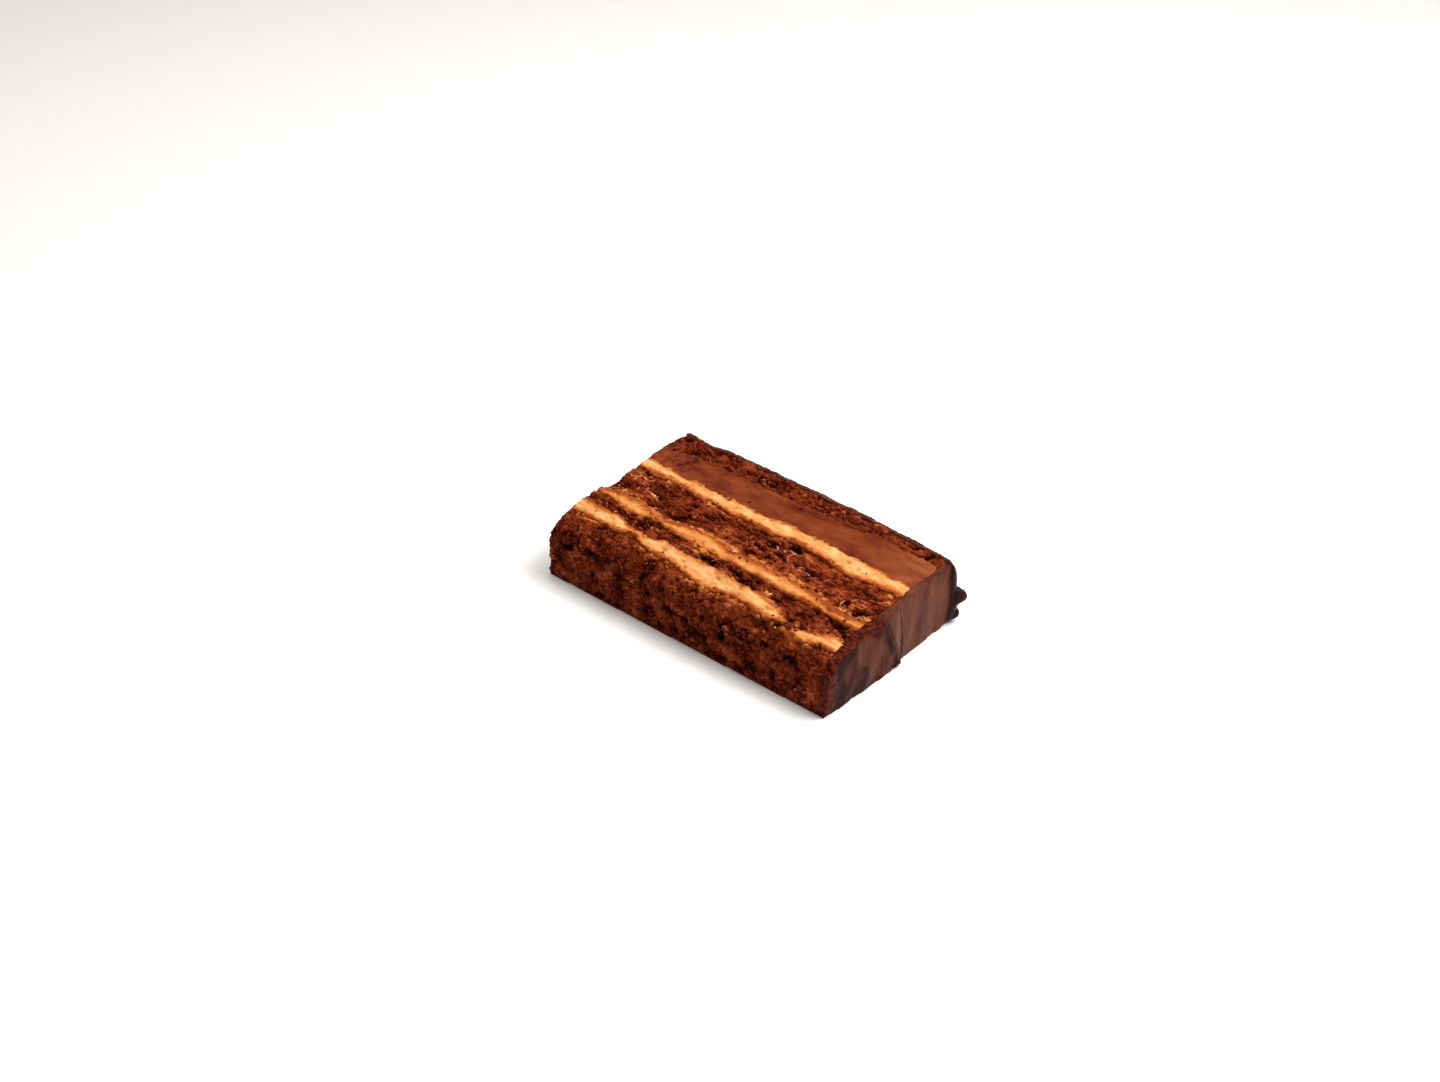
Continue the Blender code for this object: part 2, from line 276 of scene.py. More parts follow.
def closeWalls(base, apart, toward, side, spill=0.75):
    # hidden walls are pushed over the gap; just under a face that shows, one neighbour then spills over
    # the other
    hidden = 1.0 - ease(apart, 0.5, 1.3)
    top = 1.0 - ease(depthBelow(cutFace, base), 0.8, 3.0)
    end = 1.0 - ease(depthBelow(innerEnd, base), 0.8, 3.0)
    end = np.maximum(end, 1.0 - ease(base[:, 1] - cadBox[0][1], 1.0 * mm, 3.2 * mm))
    where = np.flatnonzero(hidden * np.maximum(top, end) > 0.001)
    ragged = waves(base[where], *borders["spills"])
    over = spread(len(base), where, ease(side * ragged, -0.12, 0.42)) * np.maximum(top, end)
    push = toward * (hidden * (0.18 + spill * over) * ease(base[:, 2], 0.2 * mm, 0.8 * mm) * mm)[:, None]
    push[:, 2] = 0.22 * over * hidden * top * mm
    return push


def openLayer(nodeName, pieceName, carve):
    # an even copy of the layer, what is around it and how its open faces are carved
    piece = roughCopy(nodeName, pieceName, meshFineness["voxel"])
    base = readPoints(piece)
    apart, toward = lookAround(base, otherTrees[nodeName])
    shift, relief, shown = carveFaces(base, readNormals(piece), apart, carve)
    return piece, base, apart, toward, shift, relief, shown


def nearBorders(base, borders, raggedness=1.0):
    # 1 and more beside the named neighbours, down to 0 at their reach
    most = np.zeros(len(base))
    for neighbour, (reach, weight) in borders.items():
        gap = distanceTo(base, nodeTrees[neighbour], 9.0) / raggedness
        most = np.maximum(most, weight * (1.0 - ease(gap, 0.3, reach)))
    return most


def settle(piece, base, points):
    # points over one another at the foot stay apart
    points[:, 2] = np.maximum(points[:, 2], margin + 0.3 * np.maximum(base[:, 2], 0.0))
    writePoints(piece, keepInside(points))


def finishPiece(piece, nodeName, material):
    piece.data.materials.append(material)
    pick(piece)
    bpy.ops.object.shade_smooth()
    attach(piece, "root")
    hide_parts(nodeName)
    print(nodeName, "replaced,", len(piece.data.vertices), "points")


# node tools

def feed(tree, socket, value):
    # a link where the value comes from another node, else the socket's own value
    if isinstance(value, bpy.types.NodeSocket):
        tree.links.new(value, socket)
    else:
        socket.default_value = value


def addNode(tree, kind, at, inputs=None, **settings):
    # settings come first, as a group's inputs are there only once it has its tree
    node = tree.nodes.new(kind)
    node.location = at
    for name, value in settings.items():
        setattr(node, name, value)
    for name, value in (inputs or {}).items():
        feed(tree, node.inputs[name], value)
    return node


def addRamp(tree, at, factor, stops):
    node = addNode(tree, "ShaderNodeValToRGB", at, {"Fac": factor})
    elements = node.color_ramp.elements
    while len(elements) < len(stops):
        elements.new(0.5)
    for element, (place, colour) in zip(elements, stops):
        element.position = place
        element.color = (*colour, 1.0)
    return node.outputs["Color"]


def addMath(tree, at, operation, first, second=0.0, clamp=False):
    node = addNode(tree, "ShaderNodeMath", at, operation=operation, use_clamp=clamp)
    feed(tree, node.inputs[0], first)
    feed(tree, node.inputs[1], second)
    return node.outputs[0]


def addTimes(tree, at, value, amount):
    return addMath(tree, at, "MULTIPLY", value, amount)


def addSum(tree, at, total, *parts):
    # parts added up one after the other, the last sum held between 0 and 1
    for index, part in enumerate(parts):
        isLast = index == len(parts) - 1
        total = addMath(tree, (at[0] + 60 * index, at[1]), "ADD", total, part, clamp=isLast)
    return total


def addSwing(tree, at, value, middle, amount):
    # how far the value is from the middle, times the amount
    return addTimes(tree, at, addMath(tree, (at[0] - 100, at[1]), "SUBTRACT", value, middle), amount)


def addRise(tree, at, value, start, gain):
    # 0 up to the start, then rising to 1
    over = addMath(tree, (at[0] - 100, at[1]), "SUBTRACT", value, start, clamp=True)
    return addMath(tree, at, "MULTIPLY", over, gain, clamp=True)


def addMix(tree, at, factor, first, second, strength=1.0):
    # the second colour over the first
    if strength != 1.0:
        factor = addMath(tree, (at[0] - 150, at[1] + 150), "MULTIPLY", factor, strength, clamp=True)
    node = addNode(tree, "ShaderNodeMix", at, data_type="RGBA", blend_type="MIX")
    feed(tree, node.inputs[0], factor)
    for socket, value in ((node.inputs[6], first), (node.inputs[7], second)):
        feed(tree, socket, value if isinstance(value, bpy.types.NodeSocket) else (*value, 1.0))
    return node.outputs[2]


def addRange(tree, at, value, **limits):
    # the value stretched from fromMin and fromMax to toMin and toMax
    names = {"fromMin": "From Min", "fromMax": "From Max", "toMin": "To Min", "toMax": "To Max"}
    inputs = {names[key]: limit for key, limit in limits.items()}
    return addNode(tree, "ShaderNodeMapRange", at, {"Value": value, **inputs}).outputs[0]


def newGroup(name, numbers, outputs):
    # a group that reads a vector and the named numbers, and gives the named numbers
    tree = bpy.data.node_groups.new(name, "ShaderNodeTree")
    tree.interface.new_socket("Vector", in_out="INPUT", socket_type="NodeSocketVector")
    for label, value in numbers.items():
        socket = tree.interface.new_socket(label, in_out="INPUT", socket_type="NodeSocketFloat")
        socket.default_value = value
    for label in outputs:
        tree.interface.new_socket(label, in_out="OUTPUT", socket_type="NodeSocketFloat")
    given = addNode(tree, "NodeGroupInput", (-900, 0)).outputs
    return tree, given, addNode(tree, "NodeGroupOutput", (700, 0)).inputs


def makeCrumbGrain():
    # fine crumb: a height for the bump, a mask of pores that the materials paint dark as painted shade, and
    # light flecks
    numbers = {"Size mm": 1.0, "Pore amount": 0.4, "Fleck amount": 0.3}
    tree, given, wanted = newGroup("crumbGrain", numbers, ("Height", "Pores", "Flecks"))
    scale = addMath(tree, (-700, 200), "DIVIDE", 1000.0, given["Size mm"])
    cells = addNode(tree, "ShaderNodeTexVoronoi", (-480, 200), {
        "Vector": given["Vector"], "Scale": scale, "Randomness": 1.0}).outputs["Distance"]
    grit = addNode(tree, "ShaderNodeTexNoise", (-480, -60), {
        "Vector": given["Vector"], "Scale": scale, "Detail": 5.0, "Roughness": 0.65}).outputs["Fac"]
    wide = addNode(tree, "ShaderNodeTexNoise", (-480, -320), {
        "Vector": given["Vector"], "Scale": addTimes(tree, (-700, -320), scale, 0.23),
        "Detail": 2.0}).outputs["Fac"]
    height = addMath(tree, (-200, 120), "ADD", addTimes(tree, (-300, 200), cells, 0.7), grit)
    tree.links.new(height, wanted["Height"])
    hollow = addMath(tree, (-200, -100), "SUBTRACT", wide, addTimes(tree, (-300, -100), cells, 0.55))
    for name, amount, value, most, share, softness, low in (
            ("Pores", "Pore amount", hollow, 0.62, 0.45, 0.1, -260),
            ("Flecks", "Fleck amount", grit, 0.80, 0.35, 0.08, -420)):
        edge = addMath(tree, (-200, low), "SUBTRACT", most, addTimes(tree, (-300, low), given[amount], share))
        above = addMath(tree, (-60, low - 40), "ADD", edge, softness)
        tree.links.new(addRange(tree, (60, low), value, fromMin=edge, fromMax=above), wanted[name])
    return tree


def makePatches():
    # soft-edged patches, stretched along the slice by the Mapping that feeds it
    numbers = {"Size mm": 4.0, "Coverage": 0.5, "Softness": 0.12}
    tree, given, wanted = newGroup("patches", numbers, ("Mask", "Value"))
    scale = addMath(tree, (-700, 100), "DIVIDE", 1000.0, given["Size mm"])
    cloud = addNode(tree, "ShaderNodeTexNoise", (-480, 100), {
        "Vector": given["Vector"], "Scale": scale, "Detail": 3.0, "Roughness": 0.55,
        "Distortion": 0.4}).outputs["Fac"]
    level = addRange(tree, (-240, 100), cloud, fromMin=0.25, fromMax=0.75)
    edge = addMath(tree, (-240, -140), "SUBTRACT", 1.0, given["Coverage"])
    below = addMath(tree, (-80, -140), "SUBTRACT", edge, given["Softness"])
    above = addMath(tree, (-80, -280), "ADD", edge, given["Softness"])
    tree.links.new(addRange(tree, (60, 60), level, fromMin=below, fromMax=above), wanted["Mask"])
    tree.links.new(level, wanted["Value"])
    return tree


crumbGrain = makeCrumbGrain()
patches = makePatches()
print("shader groups ready")


def newMaterial(name, surface):
    # surface holds the plain values of the shader's inputs
    material = bpy.data.materials.new(name)
    material.use_nodes = True
    tree = material.node_tree
    shader = tree.nodes["Principled BSDF"]
    for label, value in surface.items():
        shader.inputs[label].default_value = value
    place = addNode(tree, "ShaderNodeTexCoord", (-1500, 0)).outputs["Object"]
    return material, tree, shader.inputs, place


def stretchPlace(tree, at, place, stretch):
    return addNode(tree, "ShaderNodeMapping", at, {"Vector": place, "Scale": stretch}).outputs["Vector"]


def addGrain(tree, at, vector, size, pores, flecks):
    inputs = {"Vector": vector, "Size mm": size, "Pore amount": pores, "Fleck amount": flecks}
    return addNode(tree, "ShaderNodeGroup", at, inputs, node_tree=crumbGrain).outputs


def addPatches(tree, at, vector, size, coverage, softness):
    inputs = {"Vector": vector, "Size mm": size, "Coverage": coverage, "Softness": softness}
    return addNode(tree, "ShaderNodeGroup", at, inputs, node_tree=patches).outputs


def readValue(tree, at, name):
    return addNode(tree, "ShaderNodeAttribute", at, attribute_name=name).outputs["Fac"]


def readValues(tree, *names):
    # the values stored at the points of the mesh
    return [readValue(tree, (-1500, 400 + 200 * row), name) for row, name in enumerate(names)]


def addBump(tree, shader, height, strength, distance):
    bump = addNode(tree, "ShaderNodeBump", (-160, -500), {
        "Height": height, "Strength": strength, "Distance": distance * mm})
    tree.links.new(bump.outputs["Normal"], shader["Normal"])


def addGloss(tree, shader, value, limits):
    # roughness between the two limits
    rough = addRange(tree, (-300, -100), value, toMin=limits[0], toMax=limits[1])
    tree.links.new(rough, shader["Roughness"])


# sponge

sponge = {
    # the darkest colours, pit, hole and deep, are painted shade in the hollows and pores of the crumb; the
    # last ones paint the raised crumb lighter, up to a painted highlight at the tips
    "pit": (0.009, 0.0006, 0.0002),
    "hole": (0.018, 0.0013, 0.0003),
    "deep": (0.048, 0.0042, 0.0008),
    "body": (0.148, 0.0195, 0.0042),
    "high": (0.285, 0.0500, 0.0150),
    "tipHighlight": (0.500, 0.1550, 0.0700),
    "fleck": (0.420, 0.0980, 0.0330),
    "smear": (0.400, 0.0780, 0.0125),
    "cream": (0.640, 0.2250, 0.0560),
    "grainSize": 0.9,
    "surface": {"Roughness": 0.6, "Specular IOR Level": 0.012, "Coat Roughness": 0.25},
}
# smears: how far the layer on each side has been dragged over the sponge, in millimetres, and how thickly;
# hollows and daubs of cream: place, reach along and across (and depth) on the cut face
spongeLayers = {
    "sponge_bottom": {
        "relief": 1.25, "pores": 0.55, "ridges": 0.0, "stretch": (0.8, 1.0, 0.8), "level": -0.05, "seed": 1.0,
        "smears": {"cream_lower": (3.4, 0.95)},
        "daubs": ((60.4, -31.8, 1.3, 2.2),)},
    "sponge_lower": {
        "relief": 1.35, "pores": 1.0, "ridges": 0.35, "stretch": (0.5, 1.0, 1.0), "level": -0.05, "seed": 2.0,
        "smears": {"cream_lower": (1.5, 0.8), "cream_middle": (1.7, 0.9)},
        "hollows": ((9.5, -18.4, 4.5, 2.0, 1.1), (15.5, -20.4, 3.5, 1.6, 1.0)),
        "daubs": ((59.0, -25.6, 1.0, 3.4), (-36.6, -15.6, 1.6, 1.0), (-50.5, -14.8, 2.4, 1.2),
                  (-27.0, -17.4, 2.6, 0.9), (-43.6, -13.8, 2.2, 0.8), (-8.0, -18.6, 2.4, 0.8),
                  (25.0, -21.4, 2.2, 0.8))},
    "sponge_middle": {
        "relief": 1.25, "pores": 0.7, "ridges": 0.45, "stretch": (0.5, 1.0, 1.0), "level": 0.03, "seed": 3.0,
        "smears": {"cream_middle": (5.0, 1.15), "cream_upper": (2.6, 0.9)},
        "daubs": ((-52.0, 3.4, 3.0, 1.1), (-44.0, -3.0, 3.6, 1.3), (50.0, -13.0, 3.4, 1.2),
                  (56.5, 5.0, 1.6, 0.9), (-24.0, -9.6, 7.0, 1.3), (3.0, -10.4, 5.0, 1.0))},
    "sponge_top": {
        "relief": 1.25, "pores": 1.0, "ridges": 0.2, "stretch": (0.6, 1.0, 1.0), "level": -0.07, "seed": 4.0,
        "smears": {"fudge_layer": (3.0, 1.0)}},
}


def makeSponge(name, layer):
    material, tree, shader, place = newMaterial(name, sponge["surface"])
    mapped = stretchPlace(tree, (-1300, 0), place, layer["stretch"])
    relief, smeared, daubed = readValues(tree, "relief", "smeared", "daubed")
    grain = addGrain(tree, (-1050, 0), mapped, sponge["grainSize"], 0.35, 0.30)
    tone = addPatches(tree, (-1050, -300), mapped, 5.0, 0.5, 0.3)
    # the colour follows the height of the crumb: hollows painted near-black as painted shade, raised crumb
    # painted lighter up to a painted highlight at the tips, with broad random patches of tone
    fine = addSwing(tree, (-850, 300), grain["Height"], 0.8, 0.5)
    broad = addSwing(tree, (-700, 150), tone["Value"], 0.5, 0.34)
    shade = addSum(tree, (-600, 300), relief, fine, broad, layer["level"])
    colour = addRamp(tree, (-350, 300), shade, [
        (0.12, sponge["pit"]), (0.34, sponge["deep"]), (0.56, sponge["body"]), (0.78, sponge["high"]),
        (0.98, sponge["tipHighlight"])])
    colour = addMix(tree, (-50, 300), grain["Flecks"], colour, sponge["fleck"], 0.5)
    # drag marks of cream on the raised crumb beside the bands, patchy further off
    drag = addPatches(tree, (-1050, -550), mapped, 2.4, 0.55, 0.25)
    patchy = addMath(tree, (-500, 600), "ADD", drag["Mask"], addTimes(tree, (-600, 500), smeared, 0.65))
    smear = addMath(tree, (-450, 600), "MULTIPLY", smeared, patchy, clamp=True)
    smear = addTimes(tree, (-400, 600), smear, addRise(tree, (-600, 450), relief, 0.15, 2.4))
    smear = addMath(tree, (-300, 600), "MAXIMUM", smear, daubed)
    besideFudge = "fudge_layer" in layer["smears"]
    colour = addMix(tree, (100, 400), smear, colour, fudge["body"] if besideFudge else sponge["smear"], 0.85)
    if not besideFudge:
        thick = addRise(tree, (-200, 750), smear, 0.70, 2.6)
        colour = addMix(tree, (250, 400), thick, colour, sponge["cream"])
    # the pores of the grain are painted dark as painted shade, except under daubs of cream
    bare = addMath(tree, (-300, 0), "SUBTRACT", 0.75, daubed)
    colour = addMix(tree, (400, 400), addTimes(tree, (-200, 0), grain["Pores"], bare), colour, sponge["hole"])
    tree.links.new(colour, shader["Base Color"])
    # the crumb is dull, with damp spots that glint
    damp = addPatches(tree, (-1050, -800), mapped, 1.3, 0.30, 0.08)
    raised = addMath(tree, (-500, -100), "SUBTRACT", relief, 0.35, clamp=True)
    glints = addTimes(tree, (-400, -100), damp["Mask"], raised)
    tree.links.new(addTimes(tree, (-300, -100), glints, 0.6), shader["Coat Weight"])
    pores = addTimes(tree, (-700, -700), grain["Pores"], 0.6)
    addBump(tree, shader, addMath(tree, (-500, -600), "SUBTRACT", grain["Height"], pores), 1.0, 0.75)
    return material


def spongeRelief(spots, layer):
    # lumps, torn hollows and ridges of open crumb, in millimetres
    stretch = 1.0 / np.array(layer["stretch"])
    seed = layer["seed"]
    lumps = waves(spots, (0.42, 4.4 * stretch, seed), (0.24, 2.0 * stretch, seed + 0.2))
    cells = 0.5 + 0.5 * noiseAt(spots, 2.3 * stretch, seed + 0.3, "VORONOI_F1")
    gaps = 0.5 + 0.5 * noiseAt(spots, 2.0 * stretch, seed + 0.7, "VORONOI_F2F1")
    torn = ease(noiseAt(spots, 5.5 * stretch, seed + 0.9), -0.25, 0.35)
    carved = lumps + 0.5 * (0.45 - cells) - 0.75 * layer["pores"] * torn * (1.0 - ease(gaps, 0.02, 0.22))
    carved -= 1.2 * layer["pores"] * ease(noiseAt(spots, 2.9 * stretch, seed + 1.7), 0.34, 0.60)
    carved += 0.24 * noiseAt(spots, 0.95 * stretch, seed + 1.1)
    carved += layer["ridges"] * noiseAt(spots, (11.0, 1.5, 4.0), seed + 2.1)
    for x, y, reachX, reachY, depth in layer.get("hollows", ()):
        reach = np.hypot((spots[:, 0] / mm - x) / reachX, (spots[:, 1] / mm - y) / reachY)
        carved -= depth * (1.0 - ease(reach, 0.4, 1.1)) * (1.0 - ease(depthBelow(cutFace, spots), 1.0, 3.0))
    return layer["relief"] * carved


def inDaubs(points, daubs):
    # 1 in the middle of the named places on the cut face, ragged towards their edges
    if not daubs:
        return np.zeros(len(points))
    ragged = waves(points, (0.45, (2.0, 1.5, 2.0), 50.0), (0.3, (0.9, 0.8, 0.9), 51.0))
    most = np.zeros(len(points))
    for x, y, reachX, reachY in daubs:
        reach = np.hypot((points[:, 0] / mm - x) / reachX, (points[:, 1] / mm - y) / reachY) + ragged
        most = np.maximum(most, 1.0 - ease(reach, 0.55, 1.0))
    return most * (1.0 - ease(depthBelow(cutFace, points), 1.5, 4.0))


def carveSponge(nodeName):
    layer = spongeLayers[nodeName]
    opened = openLayer(nodeName, nodeName + "_crumb", lambda spots: spongeRelief(spots, layer))
    piece, base, apart, toward, shift, relief, shown = opened
    settle(piece, base, wobble(base) + shift + closeWalls(base, apart, toward, -1.0))
    storeValues(piece, "relief", np.clip(0.56 + 0.40 * relief, 0.0, 1.0))
    streaky = 1.0 + 0.9 * noiseAt(base, (13.0, 2.4, 4.0), layer["seed"] + 6.0)
    storeValues(piece, "smeared", nearBorders(base, layer["smears"], np.maximum(streaky, 0.3)))
    storeValues(piece, "daubed", inDaubs(base, layer.get("daubs")))
    finishPiece(piece, nodeName, makeSponge(nodeName + "_material", layer))
    return piece, shown


# cream

cream = {
    "bright": (0.830, 0.444, 0.1760),
    "body": (0.645, 0.276, 0.0830),
    "warm": (0.505, 0.150, 0.0270),
    "stain": (0.262, 0.046, 0.0060),
    "crumb": (0.170, 0.032, 0.0070),
    "gloss": (0.42, 0.65),
    "surface": {"Specular IOR Level": 0.07, "Subsurface Weight": 0.12, "Subsurface Radius": (1.0, 0.5, 0.2),
                "Subsurface Scale": 1.2 * mm},
}
# edges: how far in from each neighbour the cream is stained brown, in millimetres, and how strongly;
# covered: places with crumb over them; thinned: how much further the stain reaches towards the coat
creamLayers = {
    "cream_lower": {
        "warmth": 0.12, "seed": 5.0,
        "edges": {"sponge_bottom": (2.5, 1.05), "sponge_lower": (2.2, 1.05)},
        "covered": ((37.6, -29.6, 2.6, 2.6), (40.4, -29.0, 2.6, 2.4), (43.0, -27.6, 2.0, 1.2))},
    "cream_middle": {
        "warmth": 0.36, "seed": 6.0,
        "edges": {"sponge_lower": (2.5, 1.05), "sponge_middle": (4.6, 1.15)},
        "thinned": 0.35},
    "cream_upper": {
        "warmth": 0.16, "seed": 7.0,
        "edges": {"sponge_middle": (3.3, 1.1), "fudge_layer": (2.0, 1.0)}},
}


def makeCream(name, layer):
    material, tree, shader, place = newMaterial(name, cream["surface"])
    mapped = stretchPlace(tree, (-1300, 0), place, (0.55, 1.0, 1.0))
    relief, edge, covered = readValues(tree, "relief", "stained", "covered")
    tone = addPatches(tree, (-1050, 0), mapped, 3.5, 0.5, 0.3)
    grain = addGrain(tree, (-1050, -300), mapped, 0.7, 0.12, 0.1)
    # the colour follows random tone and the height: raised folds are painted lighter as painted light,
    # hollows warmer and darker as painted shade, and the stain of the edges adds to it
    warm = addSum(tree, (-800, 200), addTimes(tree, (-900, 200), tone["Value"], 0.55),
                  addTimes(tree, (-900, 60), relief, -0.6), addTimes(tree, (-850, 320), edge, 0.35),
                  layer["warmth"])
    colour = addRamp(tree, (-550, 200), warm,
                     [(0.15, cream["bright"]), (0.5, cream["body"]), (0.95, cream["warm"])])
    # the border is soaked brown and ragged, with crumb rubbed over the named places
    drag = addPatches(tree, (-1050, -550), mapped, 1.7, 0.5, 0.3)
    soaked = addMath(tree, (-600, 500), "ADD", addTimes(tree, (-700, 500), edge, 1.15),
                     addSwing(tree, (-700, 400), drag["Value"], 0.62, 0.9))
    border = addRange(tree, (-600, 650), edge, fromMin=0.02, fromMax=0.3)
    soaked = addMath(tree, (-500, 500), "MULTIPLY", soaked, border, clamp=True)
    colour = addMix(tree, (-350, 300), soaked, colour, cream["warm"], 1.7)
    colour = addMix(tree, (-250, 300), addRise(tree, (-400, 600), soaked, 0.55, 2.2), colour, cream["stain"])
    crumbs = addPatches(tree, (-1050, -800), mapped, 1.5, 0.30, 0.07)
    dots = addTimes(tree, (-350, 700), crumbs["Mask"], addMath(tree, (-450, 700), "ADD", edge, 0.05))
    colour = addMix(tree, (-50, 300), dots, colour, cream["crumb"], 0.7)
    # crumb rubbed over the cream is painted darker in the grain's hollows, as painted shade
    rubbed = addRamp(tree, (-50, 600), grain["Height"], [
        (0.5, sponge["deep"]), (0.8, sponge["body"]), (1.0, sponge["high"])])
    tree.links.new(addMix(tree, (100, 300), covered, colour, rubbed), shader["Base Color"])
    addGloss(tree, shader, tone["Value"], cream["gloss"])
    addBump(tree, shader, grain["Height"], 0.45, 0.35)
    return material


def creamRelief(spots, layer):
    # soft folds and knife drag, with small nicks
    seed = layer["seed"]
    folds = waves(spots, (0.34, (7.0, 2.2, 4.0), seed), (0.22, (3.0, 1.0, 2.0), seed + 0.4),
                  (0.12, (1.1, 0.8, 1.0), seed + 0.6))
    return folds - 0.6 * ease(noiseAt(spots, (2.4, 1.5, 2.0), seed + 0.8), 0.38, 0.62)


def spreadCream(nodeName):
    layer = creamLayers[nodeName]
    opened = openLayer(nodeName, nodeName + "_spread", lambda spots: creamRelief(spots, layer))
    piece, base, apart, toward, shift, relief, shown = opened
    covered = inDaubs(base, layer.get("covered"))
    if layer.get("covered"):
        where = np.flatnonzero(covered > 0.001)
        crumbly = waves(base[where], (0.7, 2.0, layer["seed"] + 3.0), (0.4, 1.0, layer["seed"] + 4.0))
        shift[where, 2] += crumbly * covered[where] * mm
    settle(piece, base, wobble(base) + shift + closeWalls(base, apart, toward, 1.0))
    storeValues(piece, "relief", relief)
    thinned = 1.0 + layer.get("thinned", 0.0) * ease(base[:, 0], 30.0 * mm, 52.0 * mm)
    storeValues(piece, "stained", nearBorders(base, layer["edges"]) * thinned)
    storeValues(piece, "covered", covered)
    finishPiece(piece, nodeName, makeCream(nodeName + "_material", layer))
    return piece, shown


# fudge

fudge = {
    "dark": (0.085, 0.0085, 0.0014),
    "body": (0.145, 0.0230, 0.0048),
    "light": (0.215, 0.0440, 0.0090),
    "pale": (0.320, 0.0880, 0.0330),
    "gloss": (0.42, 0.62),
    "surface": {"Specular IOR Level": 0.06},
    # dents in the cut face: place on it, radius and depth in millimetres
    "dents": ((-14.1, 15.4, 0.8, 1.0), (2.0, 24.6, 0.9, 1.2), (-21.0, 22.5, 0.5, 0.6),
              (31.0, 19.5, 0.4, 0.5)),
}


def makeFudge(name):
    material, tree, shader, place = newMaterial(name, fudge["surface"])
    mapped = stretchPlace(tree, (-1300, 0), place, (0.35, 1.0, 1.0))
    relief, paleEnd = readValues(tree, "relief", "paleEnd")
    tone = addPatches(tree, (-1050, 0), mapped, 3.0, 0.5, 0.3)
    grain = addGrain(tree, (-1050, -300), mapped, 0.6, 0.10, 0.1)
    broad = addPatches(tree, (-1050, -550), mapped, 9.0, 0.5, 0.3)
    # the colour follows the tone and the height, so the dents and low places are painted darker as painted
    # shade
    level = addSum(tree, (-800, 200), addTimes(tree, (-900, 200), tone["Value"], 0.55), relief,
                   addTimes(tree, (-800, 60), broad["Value"], 0.5))
    colour = addRamp(tree, (-550, 200), level, [
        (0.05, sponge["deep"]), (0.3, fudge["dark"]), (0.62, fudge["body"]), (1.0, fudge["light"])])
    colour = addMix(tree, (-250, 300), paleEnd, colour, fudge["pale"])
    # the pores of the grain are painted dark as painted shade
    colour = addMix(tree, (-50, 300), grain["Pores"], colour, sponge["deep"], 0.6)
    tree.links.new(colour, shader["Base Color"])
    addGloss(tree, shader, tone["Value"], fudge["gloss"])
    addBump(tree, shader, grain["Height"], 0.25, 0.25)
    return material


def fudgeRelief(spots):
    # nearly smooth, but the last stretch at the inner end is torn like the sponge
    carved = waves(spots, (0.24, (9.0, 4.0, 6.0), 9.0), (0.12, (4.0, 0.9, 1.5), 9.5))
    torn = 1.0 - ease(spots[:, 0], -52.0 * mm, -38.0 * mm)
    return carved + torn * (0.5 * noiseAt(spots, 2.2, 9.8) - 0.6 * ease(noiseAt(spots, 2.6, 9.9), 0.3, 0.6))


def layFudge():
    nodeName = "fudge_layer"
    piece, base, apart, toward, shift, relief, shown = openLayer(nodeName, "fudge_band", fudgeRelief)
    dent = np.zeros(len(base))
    for x, y, radius, depth in fudge["dents"]:
        reach = np.hypot(base[:, 0] / mm - x, base[:, 1] / mm - y)
        share = 1.0 - ease(reach, 0.3 * radius, 1.3 * radius)
        dent += depth * share * (1.0 - ease(depthBelow(cutFace, base), 1.0, 2.0))
    shift[:, 2] -= dent * mm
    settle(piece, base, wobble(base) + shift + closeWalls(base, apart, toward, -1.0))
    # the stored height also paints the dents darker, as painted shade
    storeValues(piece, "relief", 0.1 + relief * 0.8 - 0.9 * dent)
    streak = ease(noiseAt(base, (8.0, 2.0, 4.0), 12.0), -0.3, 0.5)
    storeValues(piece, "paleEnd", 0.55 * ease(base[:, 0], 36.0 * mm, 52.0 * mm) * (0.4 + 0.6 * streak))
    finishPiece(piece, nodeName, makeFudge("fudge_layer_material"))
    return piece, shown


# ganache coat

